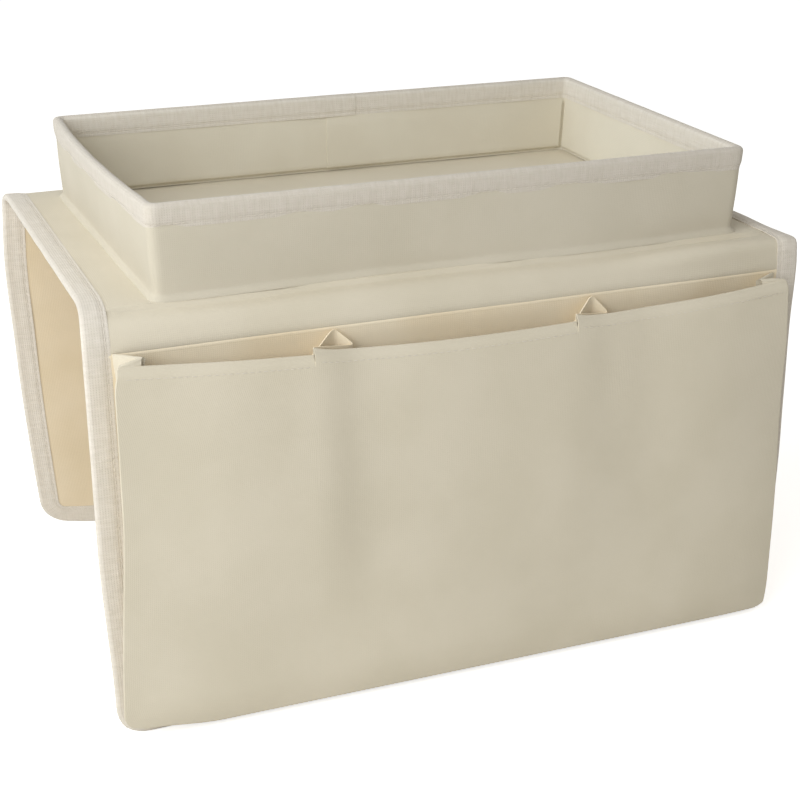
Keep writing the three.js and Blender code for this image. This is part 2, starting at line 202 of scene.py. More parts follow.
class PocketSettings(bpy.types.PropertyGroup):
    """Sizes of the three pockets: their front, hem, pleats and corners."""

    cloth: size("Pocket cloth", "Thickness of the pockets' cloth", 0.0006)
    mouth: size("Mouth", "Depth of a pocket at its hem", 0.0135)
    belly: size("Belly", "Depth of a pocket above its foot", 0.0115)
    foot: size("Foot", "Depth of a pocket at its foot", 0.0088)
    tuck: size("Tuck", "Height over which the front draws in to the foot", 0.019)
    bow: size("Bow", "How far the front of a pocket swells between its pleats", 0.0015)
    floor_clearance: size("Floor clearance", "Height of the pockets' foot above the flap's edge", 0.0037)
    hem_drop: size("Hem drop", "Drop of the hem's ends below the front fold", 0.0040)
    hem_sag: size("Hem sag", "How much lower the hem hangs in the middle", 0.0070)
    hem_roll: size("Hem roll", "Radius of the rolled hem", 0.0010)
    hem_tuck: size("Hem tuck", "How much shorter the turned-in hem is than the front, at each end", 0.0026)
    hem_width: size("Hem width", "Width of the cloth turned in at the hem", 0.012)
    hem_stitch: size("Hem stitches", "Distance of the hem's stitches from its edge", 0.0048)
    divider: size("Divider", "Place of each divider seam from the middle", 0.0635)
    pleat_lean: size("Pleat lean", "How far a divider's fold leans to the left at the hem", 0.0155)
    pleat_depth: size("Pleat depth", "How far the pleat's inner fold lies from its seam", 0.0065)
    slit: size("Fold opening", "Length over which a divider's two folds show apart", 0.020)
    lift: size("Fold lift", "How much the hem rises at the right of a divider's fold", 0.0034)
    lift_reach: size("Lift reach", "Length over which that rise dies out", 0.010)
    hem_ease: size("Hem ease", "How far the front leans back at its hem", 0.0016)
    hem_ease_reach: size("Hem ease reach", "Height over which it leans back", 0.0042)
    swell_left: size("Left swell", "How far the left pocket stands out by the left divider", 0.0026)
    swell_middle: size("Middle swell", "How far the middle pocket stands out by the right divider", 0.0016)
    hollow_right: size("Right hollow", "How far the right pocket lies back by the right divider", 0.0018)
    valley: size("Valley", "Depth of the soft creases under a divider", 0.0003)
    valley_width: size("Valley width", "Width of those creases", 0.0065)
    valley_length: size("Valley length", "Drop over which those creases die out", 0.125)
    left_hem: size("Left fold at the hem", "Distance of the left fold from the end, at the hem", 0.0108)
    left_under: size("Left fold", "Distance of the left fold from the end, under the hem", 0.0088)
    left_foot: size("Left fold at the foot", "Distance of the left fold from the end, at the foot", 0.0008)
    right_hem: size("Right fold at the hem", "Distance of the right fold from the end, at the hem", 0.0125)
    right_under: size("Right fold", "Distance of the right fold from the end, under the hem", 0.0086)
    right_foot: size("Right fold at the foot", "Distance of the right fold from the end, at the foot", 0.0056)
    end_seam: size("End seam", "Place of the end seams at the hem, from the saddle's ends", 0.0114)
    left_tuck: size("Left tuck", "How far the left side turns in from its fold", 0.0095)
    right_tuck: size("Right tuck", "How far the right side turns in from its fold", 0.0115)
    end_proud: size("End stand", "How far the left end of the hem stands out", 0.0018)
    left_rise: size("Left rise", "How much higher the left side starts than the hem", 0.0024)
    right_rise: size("Right rise", "How much higher the right side starts than the hem", 0.0010)
    end_fold: size("End fold radius", "Radius of the fold at each end", 0.0005)
    foot_rise: size("Foot rise", "How much higher the foot runs at the left corner", 0.0040)
    corner_left: size("Left corner", "Radius of the pockets' bottom left corner", 0.0095)
    corner_right: size("Right corner", "Radius of the pockets' bottom right corner", 0.0032)


class FinishSettings(bpy.types.PropertyGroup):
    """Colours of the cloths, tapes, thread and board, and of the floor."""

    cover: colour("Cover", "Cream cloth of the outside, the tray and the pockets", "#dad1bd")
    cover_shade: colour("Cover shade", "Darker patches of that cloth", "#d5ccb7")
    # The tray's cloth is the cover cloth darkened: painted shade on the outside of the tray.
    tray: colour("Tray", "Cream cloth round the tray", "#d0c8b6")
    tray_shade: colour("Tray shade", "Darker patches of that cloth", "#cbc3b0")
    # The tray's inside is the cover cloth made paler and cooler: painted light on the tray's inner walls and
    # floor.
    tray_inside: colour("Tray inside", "Pale cloth inside the tray", "#ded8c7")
    tray_inside_shade: colour("Tray inside shade", "Darker patches inside the tray", "#d9d2c0")
    # The lining's warmth is painted bounce light: the warm light the cream cloth throws into the saddle's
    # inside.
    lining: colour("Lining", "Warm cream cloth of the inside", "#e6d6ba")
    lining_shade: colour("Lining shade", "Darker patches of the inside", "#e0cfb0")
    # The pockets' cloth is made paler and warmer: painted bounce light inside the pockets.
    pocket: colour("Pocket", "Warm cream cloth behind the pockets", "#f2e5cb")
    pocket_shade: colour("Pocket shade", "Darker patches behind the pockets", "#ecdcbe")
    tape: colour("Tape", "Pale slubs of the binding tape", "#e3dbcf")
    tape_shade: colour("Tape shade", "Darker threads of the binding tape", "#d9d1c3")
    # The rim tape is the binding tape darkened: painted shade on the tray's rim.
    rim: colour("Rim tape", "Pale slubs of the tape on the tray's rim", "#d6cec2")
    rim_shade: colour("Rim tape shade", "Darker threads of that tape", "#cec6b8")
    # The inner rim tape is made paler: painted light where shade falls on the rim's inner leg.
    rim_inside: colour("Inner rim tape", "Pale slubs of the tape inside the rim", "#e0dacf")
    rim_inside_shade: colour("Inner rim tape shade", "Darker threads of that tape", "#d8d1c4")
    thread: colour("Thread", "Sewing thread", "#e0d8ca")
    board: colour("Board", "Stiffening board inside the panels", "#b49b78")
    floor: colour("Floor", "Pale studio floor", "#f7f6f3")


class StageSettings(bpy.types.PropertyGroup):
    """Camera and light."""

    lens: FloatProperty(name="Lens", description="Focal length", default=74.13, unit="CAMERA")
    azimuth: tilt("Azimuth", "Camera's turn round the object", -21.48)
    elevation: tilt("Elevation", "Camera's height angle", 21.84)
    distance: size("Distance", "Camera's distance from its target", 0.8804)
    target_x: size("Target across", "Where the camera looks, along the armrest", 0.01022)
    target_z: size("Target height", "Where the camera looks, up from the armrest", -0.10045)
    lamp_size: size("Lamp size", "Side of each square lamp", 0.85)
    key_power: wattage("Key light", "Power of the large lamp at the left", 8.1)
    side_power: wattage("Side light", "Power of the lamp at the left rear", 3)
    surround: number("Surround", "Strength of the even light from all round", 0.41)


class OrganizerSettings(bpy.types.PropertyGroup):
    """All settings of the organizer."""

    saddle: PointerProperty(type=SaddleSettings)
    tray: PointerProperty(type=TraySettings)
    pocket: PointerProperty(type=PocketSettings)
    finish: PointerProperty(type=FinishSettings)
    stage: PointerProperty(type=StageSettings)


def settings():
    """The sizes and finishes of the object in this scene."""
    return bpy.context.scene.armrest_organizer


# Materials


def node(tree, kind, inputs=None, **options):
    """A shader node with its options set and its inputs given as values or as the sockets that feed them."""
    made = tree.nodes.new(kind)
    for option, value in options.items():
        setattr(made, option, value)
    for socket, value in (inputs or {}).items():
        if isinstance(value, bpy.types.NodeSocket):
            tree.links.new(value, made.inputs[socket])
        else:
            made.inputs[socket].default_value = value
    return made


def new_material(name):
    """An empty node material and its output node."""
    material = bpy.data.materials.new(name)
    material.use_nodes = True
    material.node_tree.nodes.clear()
    return material.node_tree, node(material.node_tree, "ShaderNodeOutputMaterial")


def rgba(rgb):
    """An opaque colour."""
    return (*rgb, 1)


def bands(pitch):
    """Scale of a wave texture whose bands lie `pitch` metres apart."""
    turn_at_scale_one = 20
    return math.tau / turn_at_scale_one / pitch


def oxford_cloth(name, base, shade):
    """Plain woven polyester cloth, calendered smooth: matt, with a faint grain and soft uneven patches."""
    thread_pitch = 0.0009  # drawn about twice as coarse as the real threads, so that the grain shows
    patch = 0.045
    fibre = 0.0016
    fibre_share = 0.6
    tree, output = new_material(name)
    place = node(tree, "ShaderNodeTexCoord")
    patches = node(
        tree, "ShaderNodeTexNoise", {"Vector": place.outputs["Object"], "Scale": 1 / patch, "Detail": 3.0}
    )
    fibres = node(
        tree, "ShaderNodeTexNoise", {"Vector": place.outputs["Object"], "Scale": 1 / fibre, "Detail": 2.0}
    )
    threads = {"Vector": place.outputs["UV"], "Scale": bands(thread_pitch)}
    warp = node(tree, "ShaderNodeTexWave", threads, bands_direction="X")
    weft = node(tree, "ShaderNodeTexWave", threads, bands_direction="Y")
    weave = node(
        tree, "ShaderNodeMath", {0: warp.outputs["Fac"], 1: weft.outputs["Fac"]}, operation="MULTIPLY"
    )
    grain = node(
        tree,
        "ShaderNodeMath",
        {0: fibres.outputs["Fac"], 1: fibre_share, 2: weave.outputs[0]},
        operation="MULTIPLY_ADD",
    )
    tone = node(
        tree,
        "ShaderNodeMapRange",
        {"Value": patches.outputs["Fac"], "From Min": 0.3, "From Max": 0.7},
        interpolation_type="SMOOTHSTEP",
    )
    tint = node(
        tree,
        "ShaderNodeMix",
        {MIX_SHARE: tone.outputs[0], MIX_LOW: rgba(shade), MIX_HIGH: rgba(base)},
        data_type="RGBA",
    )
    rough = node(
        tree,
        "ShaderNodeMapRange",
        {"Value": fibres.outputs["Fac"], "From Min": 0.3, "From Max": 0.7, "To Min": 0.74, "To Max": 0.88},
    )
    bump = node(tree, "ShaderNodeBump", {"Strength": 0.35, "Distance": 0.00012, "Height": grain.outputs[0]})
    cloth = node(tree, "ShaderNodeBsdfPrincipled", {
        "Base Color": tint.outputs[MIX_RESULT],
        "Roughness": rough.outputs[0],
        "Normal": bump.outputs[0],
        "Specular IOR Level": 0.3,
        "Sheen Weight": 0.12,
        "Sheen Roughness": 0.45,
    })
    tree.links.new(cloth.outputs[0], output.inputs[0])


def linen_tape(name, base, shade):
    """Woven cotton and linen tape: pale, with slubs and darker threads across it and a coarse weave."""
    thread_pitch = 0.0011  # drawn coarser than the real 0.5 mm threads, so that the weave shows
    slub_width = 0.0016
    slub_length = 0.0090
    warp_width = 0.0012
    warp_share = 0.5
    slub_relief = 1.5
    tree, output = new_material(name)
    cut = node(tree, "ShaderNodeTexCoord").outputs["UV"]
    slub_scale = (1 / slub_length, 1 / slub_width, 1)
    warp_scale = (1 / warp_width, 1 / slub_length, 1)
    across = node(tree, "ShaderNodeMapping", {"Vector": cut, "Scale": slub_scale})
    along = node(tree, "ShaderNodeMapping", {"Vector": cut, "Scale": warp_scale})
    slubs = node(tree, "ShaderNodeTexNoise", {"Vector": across.outputs[0], "Scale": 1.0, "Detail": 3.0})
    threads = node(tree, "ShaderNodeTexNoise", {"Vector": along.outputs[0], "Scale": 1.0, "Detail": 2.0})
    weft = node(
        tree,
        "ShaderNodeTexWave",
        {"Vector": cut, "Scale": bands(thread_pitch), "Distortion": 0.6, "Detail Scale": 1.5},
        bands_direction="Y",
    )
    warp = node(
        tree, "ShaderNodeTexWave", {"Vector": cut, "Scale": bands(thread_pitch)}, bands_direction="X"
    )
    weave = node(
        tree, "ShaderNodeMath", {0: warp.outputs["Fac"], 1: weft.outputs["Fac"]}, operation="MULTIPLY"
    )
    mixed = node(
        tree,
        "ShaderNodeMath",
        {0: threads.outputs["Fac"], 1: warp_share, 2: slubs.outputs["Fac"]},
        operation="MULTIPLY_ADD",
    )
    tone = node(
        tree,
        "ShaderNodeMapRange",
        {"Value": mixed.outputs[0], "From Min": 0.45, "From Max": 1.0},
        interpolation_type="SMOOTHSTEP",
    )
    tint = node(
        tree,
        "ShaderNodeMix",
        {MIX_SHARE: tone.outputs[0], MIX_LOW: rgba(shade), MIX_HIGH: rgba(base)},
        data_type="RGBA",
    )
    relief = node(
        tree,
        "ShaderNodeMath",
        {0: mixed.outputs[0], 1: slub_relief, 2: weave.outputs[0]},
        operation="MULTIPLY_ADD",
    )
    bump = node(tree, "ShaderNodeBump", {"Strength": 0.55, "Distance": 0.0002, "Height": relief.outputs[0]})
    tape = node(tree, "ShaderNodeBsdfPrincipled", {
        "Base Color": tint.outputs[MIX_RESULT],
        "Roughness": 0.9,
        "Normal": bump.outputs[0],
        "Specular IOR Level": 0.2,
        "Sheen Weight": 0.2,
        "Sheen Roughness": 0.5,
    })
    tree.links.new(tape.outputs[0], output.inputs[0])


def sewing_thread(name, base):
    """Spun polyester thread: a soft gleam over a fine twist."""
    twist = 0.0004
    twist_shade = 0.85
    tree, output = new_material(name)
    place = node(tree, "ShaderNodeTexCoord")
    strands = node(
        tree, "ShaderNodeTexNoise", {"Vector": place.outputs["Object"], "Scale": 1 / twist, "Detail": 1.0}
    )
    dark = tuple(part * twist_shade for part in base)
    tint = node(
        tree,
        "ShaderNodeMix",
        {MIX_SHARE: strands.outputs["Fac"], MIX_LOW: rgba(dark), MIX_HIGH: rgba(base)},
        data_type="RGBA",
    )
    bump = node(
        tree, "ShaderNodeBump", {"Strength": 0.4, "Distance": 0.0001, "Height": strands.outputs["Fac"]}
    )
    thread = node(tree, "ShaderNodeBsdfPrincipled", {
        "Base Color": tint.outputs[MIX_RESULT],
        "Roughness": 0.6,
        "Normal": bump.outputs[0],
        "Sheen Weight": 0.1,
    })
    tree.links.new(thread.outputs[0], output.inputs[0])


def grey_board(name, base):
    """Pressed grey board: matt pulp with short fibres and darker specks."""
    fibre = 0.0025
    speck = 0.0009
    pulp_shade = 0.7
    tree, output = new_material(name)
    place = node(tree, "ShaderNodeTexCoord")
    pulp = node(
        tree, "ShaderNodeTexNoise", {"Vector": place.outputs["Object"], "Scale": 1 / fibre, "Detail": 4.0}
    )
    specks = node(tree, "ShaderNodeTexNoise", {"Vector": place.outputs["Object"], "Scale": 1 / speck})
    spots = node(
        tree, "ShaderNodeMapRange", {"Value": specks.outputs["Fac"], "From Min": 0.62, "From Max": 0.7}
    )
    dark = tuple(part * pulp_shade for part in base)
    ground = node(
        tree,
        "ShaderNodeMix",
        {MIX_SHARE: pulp.outputs["Fac"], MIX_LOW: rgba(dark), MIX_HIGH: rgba(base)},
        data_type="RGBA",
    )
    tint = node(
        tree,
        "ShaderNodeMix",
        {MIX_SHARE: spots.outputs[0], MIX_LOW: ground.outputs[MIX_RESULT], MIX_HIGH: rgba(dark)},
        data_type="RGBA",
    )
    bump = node(tree, "ShaderNodeBump", {"Strength": 0.3, "Distance": 0.0001, "Height": pulp.outputs["Fac"]})
    board = node(tree, "ShaderNodeBsdfPrincipled", {
        "Base Color": tint.outputs[MIX_RESULT],
        "Roughness": 0.95,
        "Normal": bump.outputs[0],
    })
    tree.links.new(board.outputs[0], output.inputs[0])


def studio_floor(name, base):
    """Matt white studio sweep: plain and pale, lifted to white for the eye but shaded under the object."""
    lift = 0.65
    grain = 0.4
    grain_shade = 0.99
    tree, output = new_material(name)
    place = node(tree, "ShaderNodeTexCoord")
    paper = node(tree, "ShaderNodeTexNoise", {"Vector": place.outputs["Object"], "Scale": 1 / grain})
    dark = tuple(part * grain_shade for part in base)
    tint = node(
        tree,
        "ShaderNodeMix",
        {MIX_SHARE: paper.outputs["Fac"], MIX_LOW: rgba(dark), MIX_HIGH: rgba(base)},
        data_type="RGBA",
    )
    matt = node(tree, "ShaderNodeBsdfDiffuse", {"Color": tint.outputs[MIX_RESULT]})
    seen = seen_rays(tree)
    strength = node(tree, "ShaderNodeMath", {0: seen, 1: lift}, operation="MULTIPLY")
    glow = node(tree, "ShaderNodeEmission", {"Strength": strength.outputs[0]})
    both = node(tree, "ShaderNodeAddShader", {0: matt.outputs[0], 1: glow.outputs[0]})
    tree.links.new(both.outputs[0], output.inputs[0])


def seen_rays(tree):
    """A socket that is 1 for what the eye, a reflection or a clear material shows."""
    path = node(tree, "ShaderNodeLightPath")
    shiny = node(
        tree,
        "ShaderNodeMath",
        {0: path.outputs["Is Glossy Ray"], 1: path.outputs["Is Transmission Ray"]},
        operation="MAXIMUM",
    )
    seen = node(
        tree, "ShaderNodeMath", {0: path.outputs["Is Camera Ray"], 1: shiny.outputs[0]}, operation="MAXIMUM"
    )
    return seen.outputs[0]


def finishes():
    """The materials of the object, made once."""
    colours = settings().finish
    makers = {
        "cover_cloth": (
            oxford_cloth, "cream polyester oxford cloth, woven", colours.cover, colours.cover_shade
        ),
        # Darker copy of the cover cloth: painted shade on the tray's outside.
        "tray_cloth": (oxford_cloth, "cream polyester tray cloth, woven", colours.tray, colours.tray_shade),
        # Paler, cooler copy of the cover cloth: painted light inside the tray.
        "tray_lining": (
            oxford_cloth, "pale polyester tray lining, woven", colours.tray_inside, colours.tray_inside_shade
        ),
        # Warmer colour for painted bounce light inside the saddle.
        "lining_cloth": (oxford_cloth, "warm polyester lining, woven", colours.lining, colours.lining_shade),
        # Paler, warmer cloth: painted bounce light inside the pockets and pleats.
        "pocket_cloth_painted_bounce": (
            oxford_cloth, "pale polyester pocket lining, woven", colours.pocket, colours.pocket_shade
        ),
        "binding_tape": (linen_tape, "linen binding tape, woven", colours.tape, colours.tape_shade),
        # Darker copy of the binding tape: painted shade on the tray's rim.
        "rim_tape": (linen_tape, "linen rim tape, woven", colours.rim, colours.rim_shade),
        # Paler copy of the rim tape: painted light on its inner leg.
        "rim_inside": (
            linen_tape, "linen rim tape, paler inner leg, woven", colours.rim_inside, colours.rim_inside_shade
        ),
        "thread": (sewing_thread, "polyester sewing thread, spun", colours.thread),
        "grey_board": (grey_board, "grey board, pressed", colours.board),
    }
    made = {}
    for key, (maker, name, *shades) in makers.items():
        if name not in bpy.data.materials:
            maker(name, *[tuple(shade) for shade in shades])
        made[key] = bpy.data.materials[name]
    return made


# Cloth


def deselect():
    """Leaves nothing selected, so that an operator acts on the next new piece only."""
    bpy.ops.object.select_all(action="DESELECT")


def lay_cloth(name, points, flat):
    """A flat sheet laid through a grid of points. `flat` is the place of each point on the cut, in metres."""
    rows, columns = points.shape[:2]
    deselect()
    bpy.ops.mesh.primitive_grid_add(x_subdivisions=columns - 1, y_subdivisions=rows - 1, size=1)
    sheet = bpy.context.object
    sheet.name = name
    mesh = sheet.data
    mesh.name = name
    cut = np.empty(len(mesh.vertices) * 3)
    mesh.vertices.foreach_get("co", cut)
    cut = cut.reshape(-1, 3)
    column = np.rint((cut[:, 0] + 0.5) * (columns - 1)).astype(int)
    row = np.rint((cut[:, 1] + 0.5) * (rows - 1)).astype(int)
    mesh.vertices.foreach_set("co", points[row, column].ravel())
    corners = np.empty(len(mesh.loops), int)
    mesh.loops.foreach_get("vertex_index", corners)
    mesh.uv_layers.active.data.foreach_set("uv", flat[row, column][corners].ravel())
    mesh.update()
    return sheet


def merge_doubles(sheet):
    """Closes the cloth where two of its edges lie on each other."""
    touching = 1e-6
    bpy.context.view_layer.objects.active = sheet
    bpy.ops.object.mode_set(mode="EDIT")
    bpy.ops.mesh.select_all(action="SELECT")
    bpy.ops.mesh.remove_doubles(threshold=touching)
    bpy.ops.object.mode_set(mode="OBJECT")


def finish_cloth(sheet, thickness, finish):
    """Gives a laid sheet its thickness, on its inner side, a smooth surface and its material."""
    crease_angle = math.radians(50)
    wall = sheet.modifiers.new("cloth thickness", "SOLIDIFY")
    wall.thickness = thickness
    wall.offset = -1
    bpy.ops.object.modifier_apply(modifier=wall.name)
    bpy.ops.object.shade_smooth_by_angle(angle=crease_angle)
    sheet.data.materials.clear()
    sheet.data.materials.append(finishes()[finish])


def flat_size(flat):
    """Width, length and area of a cut, from the places of its points on it."""
    spread = flat.reshape(-1, 2).max(axis=0) - flat.reshape(-1, 2).min(axis=0)
    one = flat[1:, 1:] - flat[:-1, :-1]
    other = flat[1:, :-1] - flat[:-1, 1:]
    area = np.abs(one[..., 0] * other[..., 1] - one[..., 1] * other[..., 0]).sum() / 2
    return (float(spread[0]), float(spread[1])), float(area)


def pair(*parts):
    """Arrays of matching shape as the last axis of one array."""
    return np.stack(np.broadcast_arrays(*parts), axis=-1)


def smoothstep(value, low, high):
    """A soft rise from 0 at `low` to 1 at `high`."""
    share = np.clip((value - low) / (high - low), 0, 1)
    return share * share * (3 - 2 * share)


def hump(value, start, full, fall, end):
    """A soft rise to 1 from `start` to `full`, and back to 0 from `fall` to `end`."""
    return smoothstep(value, start, full) - smoothstep(value, fall, end)


def bell(value, place, reach):
    """A bell curve, 1 at its place and small beyond its reach."""
    return np.exp(-((value - place) / reach) ** 2)


def run_along(lengths, axis):
    """Distances run along a grid's rows or columns, from the lengths of its steps."""
    start = np.zeros_like(np.take(lengths, [0], axis=axis))
    return np.concatenate([start, np.cumsum(lengths, axis=axis)], axis=axis)


def ripple(a, b, length):
    """A soft unevenness between about -1 and 1 over two lengths, with waves about `length` long."""
    turn = math.tau / length
    return (
        np.sin(turn * a + 1.3 * np.sin(turn * 0.7 * b))
        + np.sin(turn * 0.8 * b + 1.7 * np.cos(turn * 0.6 * a))
    ) / 2


def steps(*stops):
    """Stops along a length: pairs of an end and the number of steps that lead to it, after the start."""
    start, *ends = stops
    values = [start]
    for end, count in ends:
        values.extend(np.linspace(values[-1], end, count + 1)[1:])
    return np.array(values)


# The saddle, unrolled


class Side:
    """One half of the saddle, from the line under the tray's middle over the fold and down the flap."""

    def __init__(self, name, sign, fold_y, radius, lean):
        self.name = name
        self.sign = sign
        self.radius = radius
        self.flat = abs(fold_y - TRAY_MIDDLE.y)
        self.turn = math.pi / 2 - lean
        self.fold_end = self.flat + radius * self.turn
        drop = (TOP_Z - radius - FLOOR_Z + (radius - PANEL / 2) * math.sin(lean)) / math.cos(lean)
        self.end = self.fold_end + drop
        self.body = f"{name}_flap"

    def laid(self, x, way, height):
        """The point at `x` along the armrest, `way` over the saddle's outside and `height` above it."""
        x, way, height = np.broadcast_arrays(x, way, height)
        over = np.clip((way - self.flat) / self.radius, 0, self.turn)
        down = np.maximum(way - self.fold_end, 0)
        reach = self.radius + height
        swell = 0
        if self.name == "front":
            reach = reach * self.squared(x, over)
            fill = self.filled(x, way)
            down = down + fill
            x = x + self.bowed(x, way) - fill
        else:
            aside, swell, lift = self.hung(x, way)
            x = x + aside
            down = down - lift
        out = np.minimum(way, self.flat) + reach * np.sin(over) + down * math.cos(self.turn) + swell
        z = TOP_Z - self.radius + reach * np.cos(over) - down * math.sin(self.turn) - self.drooped(x, way)
        return pair(x, TRAY_MIDDLE.y + self.sign * out, z)

    def squared(self, x, over):
        """How far the shoulder reaches next to a round one: flatter, and square at its right end."""
        saddle = settings().saddle
        square_from = 0.4 * HALF_LENGTH
        soft = 0.1
        power = 2 + (saddle.shoulder_square - 2) * smoothstep(x, square_from, HALF_LENGTH)
        square = (np.sin(over) ** power + np.abs(np.cos(over)) ** power) ** (-1 / power)
        return square * (1 - saddle.chamfer * (np.hypot(np.sin(2 * over), soft) - soft))

    def bowed(self, x, way):
        """How far the ends of the flap stand out to the side between its shoulder and its foot."""
        saddle = settings().saddle
        near_left, near_right = 8, 12
        shoulder_reach, shoulder_share = 0.02, 0.6
        fade_start, fade_stop, fade_share = self.fold_end + 0.09, self.end - 0.01, 0.75
        pull_start, pull_stop = self.fold_end + 0.10, self.end - 0.02
        left = np.clip((HALF_LENGTH - x) / (2 * HALF_LENGTH), 0, 1) ** near_left
        right = np.clip((HALF_LENGTH + x) / (2 * HALF_LENGTH), 0, 1) ** near_right
        start = smoothstep(way, self.flat - shoulder_reach, self.fold_end)
        stop = 1 - fade_share * smoothstep(way, fade_start, fade_stop)
        shoulder = bell(way, self.fold_end, shoulder_reach)
        outward = saddle.right_bow * ((1 - shoulder_share) * start + shoulder_share * shoulder)
        inward = saddle.right_pull * smoothstep(way, pull_start, pull_stop)
        return right * (outward - inward) - saddle.end_bow * left * start * stop

    def filled(self, x, way):
        """How far the left corner of the pocket flap is pressed out and down."""
        reach = 0.0085
        apart = np.hypot(x + HALF_LENGTH, way - self.end)
        return settings().saddle.corner_fill * bell(apart, 0, reach)

    def drooped(self, x, way):
        """How far the right end of the top droops at its edge, which has no board in it."""
        saddle = settings().saddle
        lead = 0.004
        furthest = 1.2
        near = np.clip((x - HALF_LENGTH + saddle.droop_reach) / saddle.droop_reach, 0, furthest) ** 2
        return saddle.droop * near * (1 - smoothstep(way, self.flat - lead, self.fold_end))

    def hung(self, x, way):
        """How far the soft plain flap hangs to the side, outwards and up, next to a flat one."""
        saddle = settings().saddle
        near_left, near_limit = 6, 1.05
        lead = 0.01
        bow_place, bow_reach = 0.03, 0.04
        draw_from, draw_limit, draw_curve = 0.48, 1.1, 1.4
        swell_to_one = 28.9  # brings the highest place of the swell's curve to 1
        corner_from, corner_full, corner_share = 0.135, 0.168, 0.7
        drop = np.maximum(way - self.fold_end, 0)
        share = drop / (self.end - self.fold_end)
        near = np.clip((HALF_LENGTH - x) / (2 * HALF_LENGTH), 0, near_limit) ** near_left
        start = smoothstep(way, self.flat - lead, self.fold_end)
        bow = start * bell(drop, bow_place, bow_reach)
        draw = np.clip((share - draw_from) / (1 - draw_from), 0, draw_limit) ** draw_curve
        aside = near * (saddle.side_skew * draw - saddle.side_bow * bow)
        outward = swell_to_one * share ** 2 * np.clip(1 - share, 0, 1) ** 3
        swell = saddle.hang_out * outward - saddle.hang_in * share ** 2
        corner = (1 - corner_share) * near + corner_share * smoothstep(-x, corner_from, corner_full)
        return aside, swell, saddle.corner_lift * corner * share ** 4

    def blend(self, piece):
        """Bakes the piece's place into its mesh; the ends of the fold are worked out but not used."""
        start = self.laid(0, self.flat, 0)
        end = self.laid(0, self.fold_end, 0)
        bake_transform(piece)


def thinned(inset):
    """How much thinner the saddle is at a distance from its edge, where there is cloth without board."""
    soft_edge, board_edge = 0.003, 0.014
    return settings().saddle.edge_taper * (1 - smoothstep(inset, soft_edge, board_edge))


def sides():
    """The half with the pockets and the plain half."""
    saddle = settings().saddle
    front = Side("front", -1, TOP_LOW.y - SEAM_GAP / 2, saddle.front_radius, saddle.front_lean)
    back = Side("back", 1, TOP_HIGH.y + SEAM_GAP / 2, saddle.back_radius, saddle.back_lean)
    return front, back


def panel_grid(side, height_at):
    """Points and flat places of a cloth over one half of the saddle, with round corners at its end."""
    columns = 49
    seam_reach = 0.004
    corner = settings().saddle.corner_radius - CLOTH_INSET
    end = side.end - CLOTH_INSET
    seam = side.fold_end
    rounding = end - corner + corner * np.sin(np.linspace(0, math.pi / 2, ROUND_STEPS + 1))
    way = np.concatenate([
        steps(0, (side.flat, 10), (seam, FOLD_STEPS), (seam + seam_reach, 16), (end - corner, 18)),
        rounding[1:],
    ])[:, None]
    into = np.clip(way - (end - corner), 0, corner)
    half = HALF_LENGTH - CLOTH_INSET - corner + np.sqrt(corner ** 2 - into ** 2)
    share = np.linspace(1, -1, columns)[None, :] * -side.sign
    x = half * share
    flat = pair(x, way)
    return side.laid(x, way, height_at(x, way)), flat


def cover_cloth(side):
    """The outer cloth of one half: smooth over the board, with the pocket seam drawn in on the front."""
    saddle = settings().saddle
    seam = side.fold_end + saddle.seam_drop
    wave = 0.09
    groove, groove_width = 0.00014, 0.0004
    rim, rim_place, rim_width = 0.00010, 0.0010, 0.0006
    tape_near, tape_edge = HALF_LENGTH - 0.018, HALF_LENGTH - 0.012
    foot_gap = 0.0002
    # Where the lip and the dish start, are full, fall and end, from the seam and from the tray's foot
    lip_stops = (-0.007, -0.0003, 0.002, 0.020)
    dish_stops = (0, 0.0012, 0.002, 0.0095)

    def height(x, way):
        uneven = saddle.unevenness * ripple(x, way, wave)
        if side.name == "back":
            return uneven
        dip = -groove * bell(way, seam, groove_width)
        edge = rim * bell(way, seam + rim_place, rim_width)
        lip = hump(way, *(seam + stop for stop in lip_stops))
        inside = 1 - smoothstep(np.abs(x), tape_near, tape_edge)
        start = np.maximum(foot_way(x) + foot_gap, side.flat)
        dish = hump(way, *(start + stop for stop in dish_stops))
        return uneven + dip + edge + inside * (saddle.lip * lip - saddle.dish * dish)

    points, flat = panel_grid(side, height)
    sheet = lay_cloth(f"{side.name}_cover_cloth", points, flat)
    finish_cloth(sheet, saddle.cloth, "cover_cloth")
    if side.name == "front":
        face_pockets(sheet, seam)
    side.blend(sheet)
    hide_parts("top_cover", f"{side.name}_fold_cover", f"{side.name}_flap_cover")


def face_pockets(sheet, seam):
    """Below the seam the flap's face, which is the back of the pockets, is cut from the lining cloth; its
    paler, warmer colour is painted bounce light inside the pockets.
    """
    mesh = sheet.data
    mesh.materials.append(finishes()["pocket_cloth_painted_bounce"])
    places = mesh.uv_layers.active.data
    for face in mesh.polygons:
        way = sum(places[corner].uv.y for corner in face.loop_indices) / face.loop_total
        face.material_index = int(way > seam)


def lining_cloth(side):
    """The inner cloth of one half, which lies on the armrest."""
    saddle = settings().saddle
    wave = 0.08

    def height(x, way):
        inset = np.minimum(HALF_LENGTH - np.abs(x), side.end - way)
        return thinned(inset) - PANEL + saddle.unevenness * ripple(way, x, wave)

    points, flat = panel_grid(side, height)
    sheet = lay_cloth(f"{side.name}_lining_cloth", points[:, ::-1], flat[:, ::-1])
    # The lining's warm colour is painted bounce light.
    finish_cloth(sheet, saddle.cloth, "lining_cloth")
    side.blend(sheet)
    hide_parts("top_lining", f"{side.name}_fold_lining", f"{side.name}_flap_lining")


